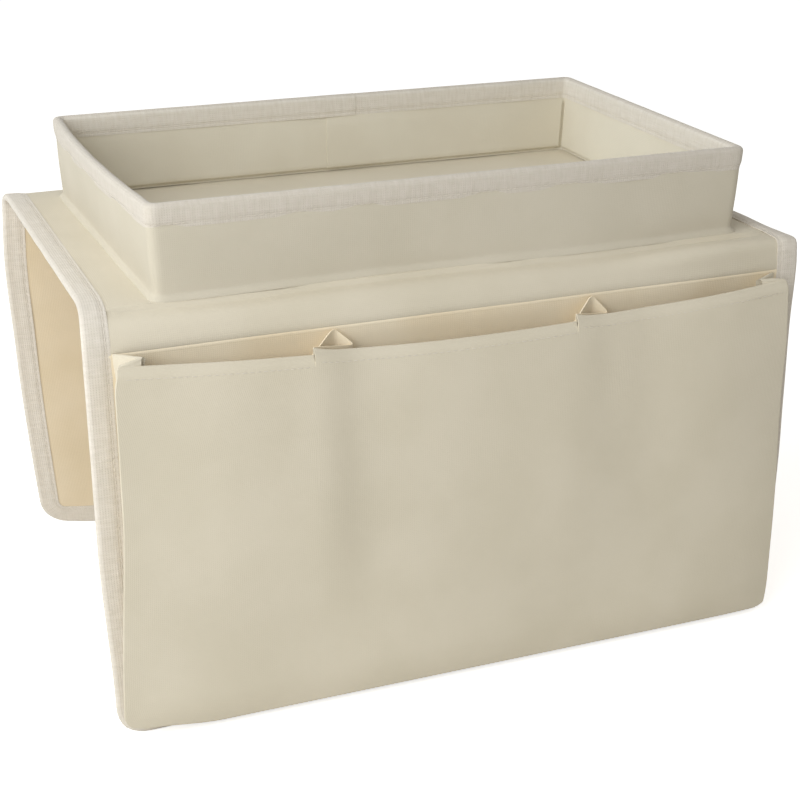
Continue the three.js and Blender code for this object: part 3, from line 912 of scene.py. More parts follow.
def hung_board(side):
    """The board in the plain flap, which hangs with its cloth."""
    saddle = settings().saddle
    stops = 25
    x = np.linspace(1, -1, stops)[None, :] * -side.sign * (HALF_LENGTH - saddle.board_inset)
    way = np.linspace(side.fold_end + SEAM_GAP, side.end - saddle.board_inset, stops)[:, None]
    flat = pair(x, way)
    board = lay_cloth(f"{side.name}_flap_stiffener", side.laid(x, way, -saddle.cloth - SEAM_GAP), flat)
    finish_cloth(board, saddle.board, "grey_board")
    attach(board, side.body)
    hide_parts(f"{side.name}_flap_board")


# Binding tape and stitches


def tape_section(outside, inside, thinner):
    """Places of a folded tape's points in from the edge and up from the outer cloth, and along its width.

    `thinner` gives how much thinner than a panel the edge is at a distance in from it.
    """
    saddle = settings().saddle
    thickness = PANEL - thinner(0)
    radius = thickness / 2 + TAPE_STAND
    selvedge = 0.0012
    groove, groove_width = 0.00012, 0.0006
    pressed, pressed_width = 0.00055, 0.0045

    def leg(width):
        inset = steps(width, (width - selvedge, 4), (width - 2 * saddle.stitch_inset, 8), (radius, 6))
        stitch = width - saddle.stitch_inset
        rise = TAPE_STAND - groove * bell(inset, stitch, groove_width)
        rise -= pressed * (1 - smoothstep(width - inset, 0, pressed_width))
        return inset, rise

    outer, outer_rise = leg(outside)
    inner, inner_rise = leg(inside)
    angle = np.linspace(0, math.pi, 2 * ROUND_STEPS + 1)[1:-1]
    inset = np.concatenate([outer, radius - radius * np.sin(angle), inner[::-1]])
    inner_rise = thinner(inner) - PANEL - inner_rise
    rise = np.concatenate([outer_rise, radius * np.cos(angle) - thickness / 2, inner_rise[::-1]])
    return inset, rise, run_along(np.hypot(np.diff(inset), np.diff(rise)), 0)


def edge_route(side):
    """The saddle's edge, unrolled: down the right end, round both corners and up the left end.

    Gives the place along the armrest and over the saddle, the inward direction and the distance run.
    """
    radius = settings().saddle.corner_radius
    down = steps(0, (side.flat, 24), (side.fold_end, FOLD_STEPS), (side.end - radius, 44))
    angle = np.linspace(0, math.pi / 2, ROUND_STEPS + 1)[1:-1]
    reach = HALF_LENGTH - radius
    foot = np.linspace(reach, -reach, 80)
    x = np.concatenate([
        np.full_like(down, HALF_LENGTH),
        reach + radius * np.cos(angle),
        foot,
        -reach - radius * np.sin(angle),
        np.full_like(down, -HALF_LENGTH),
    ])
    way = np.concatenate([
        down,
        side.end - radius + radius * np.sin(angle),
        np.full_like(foot, side.end),
        side.end - radius + radius * np.cos(angle),
        down[::-1],
    ])
    turn = np.concatenate([
        np.zeros_like(down),
        angle,
        np.full_like(foot, math.pi / 2),
        math.pi / 2 + angle,
        np.full_like(down, math.pi),
    ])
    inward = -np.cos(turn), -np.sin(turn)
    return x, way, inward, run_along(np.hypot(np.diff(x), np.diff(way)), 0)


def edge_tape(side):
    """The tape folded over the edge of one half of the saddle, with a row of stitches on each face."""
    saddle = settings().saddle
    inset, rise, width = tape_section(saddle.tape_width, saddle.tape_width, thinned)
    x, way, (across, up), run = edge_route(side)
    wave = 0.035
    uneven = TAPE_UNEVENNESS * saddle.unevenness * ripple(run[:, None], width[None, :], wave)
    at_x = x[:, None] + across[:, None] * inset
    at_way = way[:, None] + up[:, None] * inset
    points = side.laid(at_x, at_way, rise + uneven * (inset < saddle.tape_width - 2 * saddle.stitch_inset))
    flat = pair(width[None, :], run[:, None])
    turned = slice(None, None, side.sign)
    tape = lay_cloth(f"{side.name}_binding_tape", points[:, turned], flat[:, turned])
    finish_cloth(tape, saddle.tape_cloth, "binding_tape")
    side.blend(tape)
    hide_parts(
        "top_binding_left",
        "top_binding_right",
        f"{side.name}_fold_binding_left",
        f"{side.name}_fold_binding_right",
        f"{side.name}_flap_binding",
    )
    stitch = saddle.tape_width - saddle.stitch_inset
    low = TAPE_STAND - STITCH_SINK
    rows = []
    for height, face in ((low, 1), (thinned(stitch) - PANEL - low, -1)):
        route = side.laid(x + across * stitch, way + up * stitch, height)
        above = side.laid(x + across * stitch, way + up * stitch, height + face * SMALL_STEP)
        rows.append((route, above - route))
    thread = sew(f"{side.name}_binding_stitches", rows)
    side.blend(thread)


def one_stitch():
    """The thread of one stitch, along X, with its ends drawn into the cloth."""
    saddle = settings().saddle
    deselect()
    bpy.ops.mesh.primitive_uv_sphere_add(segments=6, ring_count=6, radius=0.5)
    stitch = bpy.context.object
    bpy.ops.object.mode_set(mode="EDIT")
    bpy.ops.mesh.select_all(action="SELECT")
    bpy.ops.transform.rotate(value=math.pi / 2, orient_axis="Y", center_override=(0, 0, 0))
    bpy.ops.transform.resize(value=(saddle.stitch_length, saddle.thread, saddle.thread))
    bpy.ops.object.mode_set(mode="OBJECT")
    corners = np.array([vertex.co for vertex in stitch.data.vertices])
    faces = [tuple(face.vertices) for face in stitch.data.polygons]
    bpy.data.objects.remove(stitch)
    return corners, faces


def sew(name, rows):
    """Rows of stitches. Each row is a route of points with the direction out of the cloth at each."""
    pitch = settings().saddle.stitch_pitch
    corners, faces = one_stitch()
    vertices = []
    for route, outward in rows:
        run = run_along(np.linalg.norm(np.diff(route, axis=0), axis=1), 0)
        at = np.arange(pitch, run[-1] - pitch / 2, pitch)

        def along(values, where):
            return np.stack([np.interp(where, run, values[:, axis]) for axis in range(3)], axis=-1)

        middle = along(route, at)
        ahead = along(route, at + pitch / 3) - along(route, at - pitch / 3)
        ahead /= np.linalg.norm(ahead, axis=1, keepdims=True)
        up = along(outward, at)
        beside = np.cross(up, ahead)
        beside /= np.linalg.norm(beside, axis=1, keepdims=True)
        up = np.cross(ahead, beside)
        vertices.append(
            middle[:, None]
            + ahead[:, None] * corners[:, 0, None]
            + beside[:, None] * corners[:, 1, None]
            + up[:, None] * corners[:, 2, None]
        )
    vertices = np.concatenate(vertices)
    count = len(corners)
    all_faces = [tuple(i * count + v for v in face) for i in range(len(vertices)) for face in faces]
    mesh = bpy.data.meshes.new(name)
    mesh.from_pydata(vertices.reshape(-1, 3).tolist(), [], all_faces)
    mesh.update()
    thread = bpy.data.objects.new(name, mesh)
    bpy.context.collection.objects.link(thread)
    deselect()
    bpy.context.view_layer.objects.active = thread
    thread.select_set(True)
    bpy.ops.object.shade_smooth()
    mesh.materials.append(finishes()["thread"])
    return thread


# Tray


def tray_reach():
    """Half the length and half the depth of the tray's wall, outside."""
    spread = (RIM_HIGH - RIM_LOW) / 2
    return spread.x - TAPE_STAND, spread.y - TAPE_STAND


def tray_stretches():
    """Lengths of the tray's straight walls and round corners in turn, from the middle of its back wall."""
    radius = settings().tray.corner_radius
    reach_x, reach_y = tray_reach()
    half, short, bend = reach_x - radius, 2 * (reach_y - radius), radius * math.pi / 2
    return np.array([half, bend, short, bend, 2 * half, bend, short, bend, half])


def tray_run():
    """Stops along the tray's outline, from the middle of its back wall to the right and all the way round."""
    half, short, bend = 24, 30, ROUND_STEPS
    counts = (half, bend, short, bend, 2 * half, bend, short, bend, half)
    return steps(0, *zip(np.cumsum(tray_stretches()), counts))


def tray_wall(run):
    """Place and outward direction on the tray's outline at each distance run along it."""
    radius = settings().tray.corner_radius
    lengths = tray_stretches()
    starts = run_along(lengths, 0)
    heading = math.pi / 2
    x, y = 0.0, tray_reach()[1]
    places = np.empty((len(run), 2))
    outward = np.empty((len(run), 2))
    distance = np.asarray(run) % starts[-1]
    for part, length in enumerate(lengths):
        here = (distance >= starts[part]) & (distance <= starts[part + 1])
        gone = distance[here] - starts[part]
        out = np.array([math.cos(heading), math.sin(heading)])
        ahead = np.array([out[1], -out[0]])
        if part % 2 == 0:
            places[here] = np.array([x, y]) + gone[:, None] * ahead
            outward[here] = out
            x, y = np.array([x, y]) + length * ahead
        else:
            angle = heading - gone / radius
            turned = np.stack([np.cos(angle), np.sin(angle)], axis=-1)
            centre = np.array([x, y]) - radius * out
            places[here] = centre + radius * turned
            outward[here] = turned
            heading -= math.pi / 2
            x, y = centre + radius * np.array([math.cos(heading), math.sin(heading)])
    return places, outward


def foot_wave(x):
    """How far the foot of the tray's front wall wanders inwards along its length."""
    wave, shift = 0.19, 0.036
    return settings().tray.foot_wave * np.cos(math.tau * (x - TRAY_MIDDLE.x + shift) / wave)


def foot_way(x):
    """How far from the tray's middle the welt of the front wall's foot lies."""
    tray = settings().tray
    return tray_reach()[1] + tray.forward + tray.welt - foot_wave(x)


def leaned(points):
    """Points of the tray after its soft walls have settled: the end walls lean and the foot wanders."""
    tray = settings().tray
    foot_in, foot_turn = 0.4, 1.6
    back_share = 0.65
    reach_x, reach_y = tray_reach()
    x, y, z = np.moveaxis(points, -1, 0)
    up = np.clip((z - TOP_Z) / TRAY_HEIGHT, 0, 1)
    back = np.clip((y - TRAY_MIDDLE.y + reach_y) / (2 * reach_y), 0, 1)
    left = 1 - smoothstep(x, TRAY_MIDDLE.x - reach_x, TRAY_MIDDLE.x - reach_x + tray.lean_reach)
    right = smoothstep(x, TRAY_MIDDLE.x + reach_x - tray.lean_reach, TRAY_MIDDLE.x + reach_x)
    rim = -tray.splay * back - 4 * tray.bow * back * (1 - back)
    foot = tray.left_foot * (foot_in - foot_turn * back)
    inward = tray.right_in * (1 - back_share * back) + tray.right_foot * (1 - up)
    moved = points.copy()
    moved[..., 0] += left * (foot + (rim - foot) * up) - right * inward
    moved[..., 1] += foot_wave(x) * (1 - up) * (1 - back) - tray.forward
    return moved


def tray_points(run, out, height):
    """Points round the tray: one row for each distance out of the wall and height above the top panel."""
    tray = settings().tray
    places, outward = tray_wall(run)
    out, height = np.broadcast_arrays(out, height)
    power = 2 + (tray.corner_square - 2) * smoothstep(out, -PANEL, 0)
    square = (np.abs(outward[:, 0]) ** power + np.abs(outward[:, 1]) ** power) ** (-1 / power)
    out = out + (square - 1) * (tray.corner_radius + out)
    x = TRAY_MIDDLE.x + places[:, 0] + outward[:, 0] * out
    y = TRAY_MIDDLE.y + places[:, 1] + outward[:, 1] * out
    return leaned(pair(x, y, TOP_Z + height))


def tray_cover():
    """The cloth round the outside of the tray, with its sewn foot turned out as a welt."""
    tray = settings().tray
    saddle = settings().saddle
    run = tray_run()
    wave = 0.06
    wall_start, wall_end = 0.0034, TRAY_HEIGHT - TAPE_STAND - UNDER_TAPE
    # The welt's outline, out of the wall and up from the top panel, from its underside over its edge
    foot = np.array([
        (0.0002, 0.00005),
        (1.04 * tray.welt, -0.0002),
        (tray.welt, 0.0001),
        (0.86 * tray.welt, 0.0007),
        (0.58 * tray.welt, 0.0013),
        (0.26 * tray.welt, 0.0019),
        (0.0002, 0.0026),
    ])
    height = np.concatenate([foot[:, 1], np.linspace(wall_start, wall_end, 16)])
    swell = tray.bulge * np.sin(np.pi * np.clip(height / TRAY_HEIGHT, 0, 1))
    uneven = WALL_UNEVENNESS * saddle.unevenness * ripple(run[None, :], height[:, None], wave)
    out = swell[:, None] + uneven
    out[: len(foot)] = foot[:, 0, None]
    points = tray_points(run, out, height[:, None])
    flat = pair(run[None, :], height[:, None])
    sheet = lay_cloth("tray_cover_cloth", points[:, ::-1], flat[:, ::-1])
    merge_doubles(sheet)
    # The tray's cloth carries painted shade: it is the cover cloth darkened.
    finish_cloth(sheet, saddle.cloth, "tray_cloth")
    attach(sheet, "top")
    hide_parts("tray_cover")


def lapped(run, start, overlap):
    """Stops once round the tray from a join, with the last stretch lapping over the first."""
    touching = 1e-7
    perimeter = run[-1]
    turned = np.sort(np.concatenate([(run[:-1] - start) % perimeter, [0, perimeter]]))
    turned = turned[np.concatenate([[True], np.diff(turned) > touching])]
    lap = perimeter + np.array([0.25, 0.5, 0.75, 1]) * overlap
    before = perimeter - np.array([0.6, 0.45, 0.3, 0.15]) * overlap
    once = turned[turned < perimeter - touching]
    return start + np.sort(np.concatenate([once, [perimeter], before, lap]))


def lap_rise(run, start, overlap, thickness):
    """How far the lapping end lies above the cloth under it, after a long slow rise."""
    rise_from, rise_to = 6, 0.1
    perimeter = tray_run()[-1]
    return thickness * smoothstep(run - start, perimeter - rise_from * overlap, perimeter - rise_to * overlap)


def tray_lining():
    """The cloth round the inside of the tray, lapped and sewn at the back wall."""
    tray = settings().tray
    saddle = settings().saddle
    wave = 0.07
    floor_gap = 0.0002
    lap_stand, lap_pressed = 1.1 * saddle.cloth, 0.25
    tape_edge, tape_lead = TRAY_HEIGHT - tray.rim_inside, 0.004
    corner_from, corner_full = 0.35, math.sqrt(0.5)
    groove_full = 0.4 * tray.crease_width
    run = lapped(tray_run(), -tray.lining_seam, tray.overlap)
    level = steps(floor_gap, (tray.crease_width, 10), (TRAY_HEIGHT - TAPE_STAND - UNDER_TAPE, 18))
    height = level[:, None]
    rise = lap_rise(run, -tray.lining_seam, tray.overlap, lap_stand)
    uneven = WALL_UNEVENNESS * saddle.unevenness * ripple(run[None, :], height, wave)
    free = 1 - smoothstep(height, tape_edge - tape_lead, tape_edge)
    facing = np.abs(tray_wall(-run)[1]).min(axis=1)
    corner = smoothstep(facing, corner_from, corner_full)[None, :]
    floor_groove = 1 - smoothstep(height, groove_full, tray.crease_width)
    groove = np.maximum(floor_groove, corner * free)
    lap = rise[None, :] * (lap_pressed + (1 - lap_pressed) * free) * (1 - groove)
    out = tray.crease * groove - PANEL - lap + uneven
    points = tray_points(-run, out, height)
    flat = pair(run[None, :], height)
    sheet = lay_cloth("tray_lining_cloth", points[:, ::-1], flat[:, ::-1])
    # The lining's paler, cooler colour is painted light inside the tray.
    finish_cloth(sheet, saddle.cloth, "tray_lining")
    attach(sheet, "top")
    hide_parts("tray_lining")


def tray_rim():
    """The tape folded over the tray's rim, lapped at the back wall, with stitches inside and outside."""
    tray = settings().tray
    saddle = settings().saddle
    inset, rise, width = tape_section(tray.rim_outside, tray.rim_inside, np.zeros_like)
    wave = 0.03
    lap_stand = 1.1 * saddle.tape_cloth
    run = lapped(tray_run(), tray.tape_join, tray.overlap)
    lap = lap_rise(run, tray.tape_join, tray.overlap, lap_stand)
    away = np.sign(rise + PANEL / 2)
    uneven = TAPE_UNEVENNESS * saddle.unevenness * ripple(run[None, :], width[:, None], wave)
    out = rise[:, None] + away[:, None] * lap[None, :] + uneven
    height = TRAY_HEIGHT - inset[:, None] + 0 * run[None, :]
    points = tray_points(run, out, height)
    flat = pair(width[:, None], run[None, :])
    tape = lay_cloth("tray_rim_tape", points[:, ::-1], flat[:, ::-1])
    # The rim tape's darker colour is painted shade.
    finish_cloth(tape, saddle.tape_cloth, "rim_tape")
    paint_light_on_inner_leg(tape)
    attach(tape, "top")
    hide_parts("tray_rim_binding")
    low = TAPE_STAND - STITCH_SINK
    rows = []
    once = tray_run()
    for leg, depth, face in ((tray.rim_outside, low, 1), (tray.rim_inside, -PANEL - low, -1)):
        level = TRAY_HEIGHT - leg + saddle.stitch_inset
        route = tray_points(once, np.full((1, len(once)), depth), level)[0]
        above = tray_points(once, np.full((1, len(once)), depth + face * SMALL_STEP), level)[0]
        rows.append((route, above - route))
    thread = sew("tray_rim_stitches", rows)
    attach(thread, "top")


def paint_light_on_inner_leg(tape):
    """Gives the faces of the rim tape that look into the tray a paler copy of the tape's finish: painted
    light on the inner leg, in place of the shade that falls there.
    """
    lying = 0.7
    tape.data.materials.append(finishes()["rim_inside"])
    for face in tape.data.polygons:
        outward = face.center.xy - TRAY_MIDDLE.xy
        upright = abs(face.normal.z) < lying
        if upright and face.normal.xy.dot(outward) < 0:
            face.material_index = 1


def tray_boards():
    """The four boards in the tray's walls, which lean with the cloth."""
    edge = 0.0003
    crease_angle = math.radians(30)
    for wall in ("front", "back", "left", "right"):
        node_name = f"tray_{wall}_board"
        low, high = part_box(node_name)
        low.z += settings().tray.crease_width
        deselect()
        bpy.ops.mesh.primitive_cube_add(size=1, location=(low + high) / 2, scale=high - low)
        board = bpy.context.object
        board.name = f"tray_{wall}_stiffener"
        bpy.ops.object.transform_apply(location=True, rotation=True, scale=True)
        bpy.ops.object.mode_set(mode="EDIT")
        bpy.ops.mesh.select_all(action="SELECT")
        bpy.ops.mesh.bevel(offset=edge, segments=2, affect="EDGES")
        bpy.ops.mesh.select_all(action="SELECT")
        bpy.ops.mesh.subdivide(number_cuts=8)
        bpy.ops.object.mode_set(mode="OBJECT")
        places = np.array([vertex.co for vertex in board.data.vertices])
        board.data.vertices.foreach_set("co", leaned(places).ravel())
        board.data.update()
        bpy.ops.object.shade_smooth_by_angle(angle=crease_angle)
        board.data.materials.append(finishes()["grey_board"])
        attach(board, "top")
        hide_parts(node_name)


# Pockets


class PocketFront:
    """Shape of the pockets' front on the front flap, in metres along the armrest and down from the fold."""

    def __init__(self):
        self.side = sides()[0]
        self.sizes = settings().pocket
        self.foot = self.side.end - self.side.fold_end - self.sizes.floor_clearance
        lean = self.sizes.pleat_lean
        self.folds = (-self.sizes.divider - lean, self.sizes.divider - lean)

    def hem(self, x):
        """Drop of the hem, without the rise at the folds."""
        half = HALF_LENGTH - self.sizes.left_hem
        return self.sizes.hem_drop + self.sizes.hem_sag * (1 - np.clip(x / half, -1, 1) ** 2)

    def lift(self, x, after):
        """Rise of the hem to the right of the fold at `after`, or none where there is no such fold."""
        if after is None:
            return 0 * x
        return self.sizes.lift * np.exp(-np.maximum(x - after, 0) / self.sizes.lift_reach)

    def end_x(self, drop, sign):
        """Distance of an end fold from the middle: out to the side under the hem and in round the corner."""
        sizes = self.sizes
        if sign < 0:
            hem, under, low, corner = sizes.left_hem, sizes.left_under, sizes.left_foot, sizes.corner_left
            spread, foot = 0.016, self.foot - sizes.foot_rise
        else:
            hem, under, low, corner = sizes.right_hem, sizes.right_under, sizes.right_foot, sizes.corner_right
            spread, foot = 0.045, self.foot
        waist = 0.38 * self.foot
        inset = hem + (under - hem) * smoothstep(drop, 0, spread)
        inset = inset + (low - under) * smoothstep(drop, waist, self.foot)
        into = np.clip(drop - (foot - corner), 0, corner)
        inset = inset + corner - np.sqrt(corner ** 2 - into ** 2)
        return HALF_LENGTH - inset

    def depth(self, x, drop):
        """Distance of the front from the flap's cloth."""
        sizes = self.sizes
        pinch, pinch_reach, pinch_drop = 0.3, 0.014, (0.01, 0.06)
        step_drop = 0.09, 0.16
        proud_reach, proud_drop = 0.02, (0.03, 0.09)
        valley_drop = 0.01, sizes.valley_length
        uneven, wave = 0.0005, 0.11
        above = np.clip(self.foot - drop, 0, None)
        tuck = np.sin(np.clip(above / sizes.tuck, 0, 1) * math.pi / 2)
        rise = np.clip((above - sizes.tuck) / (self.foot - sizes.tuck), 0, 1)
        depth = sizes.foot + (sizes.belly + (sizes.mouth - sizes.belly) * rise - sizes.foot) * tuck
        edges = np.array([-HALF_LENGTH, *self.folds, HALF_LENGTH])
        pocket = np.clip(np.searchsorted(edges, x) - 1, 0, 2)
        share = np.clip((x - edges[pocket]) / (edges[pocket + 1] - edges[pocket]), 0, 1)
        swell = np.sin(np.pi * share)
        depth = depth + sizes.bow * tuck * swell * swell
        gone = np.clip(HALF_LENGTH - x, 0, None)
        depth = depth * (1 - pinch * np.exp(-gone / pinch_reach) * smoothstep(drop, *pinch_drop))
        depth = depth + self.stepped(x) * (1 - smoothstep(drop, *step_drop))
        end = np.exp(-np.clip(x + HALF_LENGTH, 0, None) / proud_reach)
        depth = depth + sizes.end_proud * end * (1 - smoothstep(drop, *proud_drop))
        fade = 1 - smoothstep(drop, *valley_drop)
        for place in self.valleys(drop):
            depth = depth - sizes.valley * fade * bell(x, place, sizes.valley_width)
        return depth + uneven * tuck * ripple(x, drop, wave)

    def stepped(self, x):
        """How far the front stands out along its length: further in each pocket, back at each divider."""
        sizes = self.sizes
        reach = 0.008
        # Places along the armrest, and how far the front stands out at each before the steps are blurred
        places = np.array([-0.135, -0.078, -0.072, -0.055, 0.0, 0.042, 0.048, 0.088, 0.135])
        swell, middle, hollow = sizes.swell_left, sizes.swell_middle, sizes.hollow_right
        stands = np.array([0, swell, swell, -0.15 * swell, 0, middle, middle, -hollow, 0])
        blur = np.linspace(-reach, reach, 9)
        return sum(np.interp(x + shift, places, stands) for shift in blur) / len(blur)

    def valleys(self, drop):
        """Places of the soft creases under each divider."""
        spacing, left_share = 0.0065, 0.3
        drift = 0.010
        first = -self.sizes.divider - left_share * spacing + 0 * drop
        second = first + spacing
        third = self.sizes.divider + drift * smoothstep(drop, 0, self.sizes.valley_length)
        return first, second, third

    def point(self, x, drop, depth):
        """The point at `x` along the armrest, `drop` below the fold and `depth` out of the flap's cloth."""
        return self.side.laid(x, self.side.fold_end + drop, depth)

    def rows(self):
        """Shares of the height from the foot to the hem, close together at both."""
        full = self.foot - self.sizes.hem_drop
        tuck = np.linspace(0, 1, 12) * self.sizes.tuck / full
        slit = self.slit_share()
        eased = 1 - self.sizes.hem_ease_reach / full
        face = steps(tuck[-1], (slit, 17), (eased, 10), (1, 5))
        return np.concatenate([tuck, face[1:]])

    def slit_share(self):
        """Share of the height at which the two folds of a divider part."""
        return 1 - self.sizes.slit / (self.foot - self.sizes.hem_drop)

    def turned_in(self, count):
        """How far each of a column's points is turned in behind the hem, from 0 on the face to 1."""
        turned = np.ones(count)
        turned[:-HEM_ROWS] = 0
        turned[-HEM_ROWS:ROLL_STEPS - HEM_ROWS] = np.linspace(0, 1, ROLL_STEPS)
        return turned

    def column(self, x, after):
        """Drop and depth up one column of the front: the foot, the face, the hem and its turned-in edge."""
        sizes = self.sizes
        roll = sizes.hem_roll
        rise_from, rise_full = 0.126, 0.166
        # How far down the turned-in edge its points lie, and how much of the hem's ease each still has
        inside_share, inside_ease = np.array([0.3, 0.65, 1]), np.array([0.6, 0.2, 0])
        # Points under the foot: how far below it and at what share of its depth
        under_foot, under_share = np.array([0.0011, 0.0010, 0.0004]), np.array([0.75, 0.45, 0.26])
        share = self.rows()
        fade = smoothstep(share, self.slit_share(), 1)
        top = self.hem(x) + roll
        foot = self.foot - sizes.foot_rise * smoothstep(-x, rise_from, rise_full)
        face = foot + (top - foot) * share - self.lift(x, after) * fade
        back = 1 - np.clip((face - face[-1]) / sizes.hem_ease_reach, 0, 1)
        face_depth = self.depth(x, face) - sizes.hem_ease * back ** 2
        angle = np.linspace(0, math.pi, ROLL_STEPS + 1)[1:]
        hem = face[-1] - roll * np.sin(angle)
        hem_depth = face_depth[-1] - roll + roll * np.cos(angle)
        inside = face[-1] + inside_share * (sizes.hem_width - roll)
        inside_depth = self.depth(x, inside) - 2 * roll - sizes.hem_ease * inside_ease
        drop = np.concatenate([foot + under_foot, face, hem, inside])
        depth = np.concatenate([face_depth[0] * under_share, face_depth, hem_depth, inside_depth])
        return drop, depth


def pocket_front():
    """The front of the three pockets: one hemmed cloth whose folds part at the dividers."""
    front = PocketFront()
    sizes = front.sizes
    columns = 44
    cut_apart = 0.16
    guide = front.foot / 2
    starts = (None, *front.folds)
    ends = (*front.folds, None)
    sheets = []
    flats = []
    for part, (start, end) in enumerate(zip(starts, ends)):
        left = sizes.end_fold - front.end_x(guide, -1) if start is None else start
        right = front.end_x(guide, 1) - sizes.end_fold if end is None else end
        drops = []
        depths = []
        places = []
        for share in np.linspace(0, 1, columns):
            near = 0.5 - 0.5 * math.cos(math.pi * share)
            drop, depth = front.column(left + (right - left) * near, start)
            on_face = np.clip(drop, 0, front.foot)
            hidden = sizes.end_fold + sizes.hem_tuck * front.turned_in(len(drop))
            low = hidden - front.end_x(on_face, -1) if start is None else np.full_like(drop, start)
            high = front.end_x(on_face, 1) - hidden if end is None else np.full_like(drop, end)
            places.append(low + (high - low) * near)
            drops.append(drop)
            depths.append(depth)
        x = np.array(places).T
        drop = np.array(drops).T
        depth = np.array(depths).T
        x, drop, depth = end_pleat(front, x, drop, depth, start is None, end is None)
        points = front.point(x, drop, depth)
        width = run_along(np.linalg.norm(np.diff(points, axis=1), axis=2), 1)
        height = run_along(np.linalg.norm(np.diff(points, axis=0), axis=2), 0)
        flat = pair(width + part * cut_apart, height)
        sheets.append(lay_cloth(f"pocket_front_{part}", points, flat))
        flats.append(flat)
    deselect()
    for sheet in sheets:
        sheet.select_set(True)
    bpy.context.view_layer.objects.active = sheets[0]
    bpy.ops.object.join()
    cloth = bpy.context.object
    cloth.name = cloth.data.name = "pocket_front_cloth"
    merge_doubles(cloth)
    finish_cloth(cloth, sizes.cloth, "cover_cloth")
    cuts = [flat_size(flat) for flat in flats]
    width = sum(spread[0] for spread, _ in cuts)
    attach(cloth, "front_flap")
    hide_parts("pocket_left", "pocket_middle", "pocket_right")


def end_pleat(front, x, drop, depth, at_left, at_right):
    """Adds the fold and the turned-in side at the front's ends: a V at the hem, straight in below it."""
    sizes = front.sizes
    radius = sizes.end_fold
    fold_steps = 6
    tape_start, tape_full = front.foot - 0.016, front.foot - 0.012
    sewn_at = 0.0008
    folded_drop = 0.004, 0.060
    rise_drop = 0.006, 0.04
    # The turned-in side's three points: how far in they lie, how deep in the V and how much they rise
    inward = np.array([0.35, 0.7, 1])
    half_turned, half_deep, full_deep = 0.5, 0.94, 0.86
    risen = [0.5, 1, 1]
    seam_depth = sewn_at + TAPE_STAND * smoothstep(drop[:, :1], tape_start, tape_full)
    for sign, wanted, tuck, rise in (
        (-1, at_left, sizes.left_tuck, sizes.left_rise),
        (1, at_right, sizes.right_tuck, sizes.right_rise),
    ):
        if not wanted:
            continue
        edge = 0 if sign < 0 else -1
        edge_x = sign * x[:, edge, None]
        edge_depth = depth[:, edge, None]
        edge_drop = drop[:, edge, None]
        angle = np.linspace(0, math.pi, fold_steps + 1)[1:]
        fold_x = edge_x + radius * np.sin(angle)
        fold_depth = edge_depth - radius + radius * np.cos(angle)
        side_depth = edge_depth - 2 * radius
        folded = 1 - smoothstep(edge_drop, *folded_drop)
        sewn = np.minimum(HALF_LENGTH - sizes.end_seam, edge_x)
        folded_x = np.concatenate([edge_x - half_turned * tuck, edge_x - tuck, sewn], axis=1)
        folded_depth = np.concatenate([half_deep * side_depth, full_deep * side_depth, seam_depth], axis=1)
        straight_x = edge_x - tuck * inward
        straight_depth = side_depth + (seam_depth - side_depth) * inward
        turned = np.concatenate([fold_x, straight_x + (folded_x - straight_x) * folded], axis=1)
        side = straight_depth + (folded_depth - straight_depth) * folded
        turned_depth = np.minimum(np.concatenate([fold_depth, side], axis=1), edge_depth)
        lift = rise * (1 - smoothstep(edge_drop, *rise_drop))
        turned_drop = edge_drop - lift * np.concatenate([np.zeros_like(angle), risen])
        parts = [x, sign * turned], [drop, turned_drop], [depth, turned_depth]
        if sign < 0:
            parts = [(added[:, ::-1], kept) for kept, added in parts]
        x, drop, depth = (np.concatenate(part, axis=1) for part in parts)
    return x, drop, depth


def softened(path, times):
    """A row of points with its corners rounded and its two ends kept."""
    for _ in range(times):
        path = np.concatenate([path[:1], (path[:-2] + 2 * path[1:-1] + path[2:]) / 4, path[-1:]])
    return path


def divider_pleats():
    """The folded sides between two pockets, from the left pocket's fold over the seam to the right one's."""
    front = PocketFront()
    sizes = front.sizes
    behind = 2 * sizes.hem_roll + sizes.hem_ease + SEAM_GAP
    low = front.foot - 0.004
    under_hem = 0.0004
    seam_drop, seam_lean, seam_depth = 0.0016, 0.0022, 0.0013
    seam_beside = 0.0003
    fold_before, fold_after = 0.0004, 0.0006
    inner_share = 0.45
    lean_until = 0.5
    hem_part = 0.12
    face_steps = 8
    for name, seam, fold, pleat, inner_drop in (
        ("left", -sizes.divider, front.folds[0], sizes.pleat_depth, 0.0098),
        ("right", sizes.divider, front.folds[1], 0.9 * sizes.pleat_depth, 0.0110),
    ):
        hem = front.hem(fold)
        tops = np.array([hem, seam_drop, inner_drop, hem - sizes.lift]) + under_hem
        rows = []
        for share in steps(0, (hem_part, 8), (1, 16)):
            lean = 1 - smoothstep(share, 0, lean_until)
            fold_x = seam + (fold - seam) * lean
            drops = tops + (low - tops) * share
            face = front.depth(np.array([fold_x]), drops[0])[0] - behind
            corners = np.array([
                (fold_x - fold_before, drops[0], face),
                (seam - seam_beside - seam_lean * lean, drops[1], seam_depth),
                (seam + pleat, drops[2], inner_share * face),
                (fold_x + fold_after, drops[3], face),
            ])
            faces = [np.linspace(a, b, face_steps + 1)[:-1] for a, b in zip(corners, corners[1:])]
            rows.append(softened(np.concatenate([*faces, corners[-1:]]), 2))
        grid = np.array(rows)
        points = front.point(grid[..., 0], grid[..., 1], grid[..., 2])
        width = run_along(np.linalg.norm(np.diff(points, axis=1), axis=2), 1)
        flat = pair(width, grid[..., 1])
        pleat = lay_cloth(f"pocket_pleat_{name}", points, flat)
        # The pleats take the pockets' paler, warmer cloth: painted bounce light.
        finish_cloth(pleat, sizes.cloth, "pocket_cloth_painted_bounce")
        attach(pleat, "front_flap")


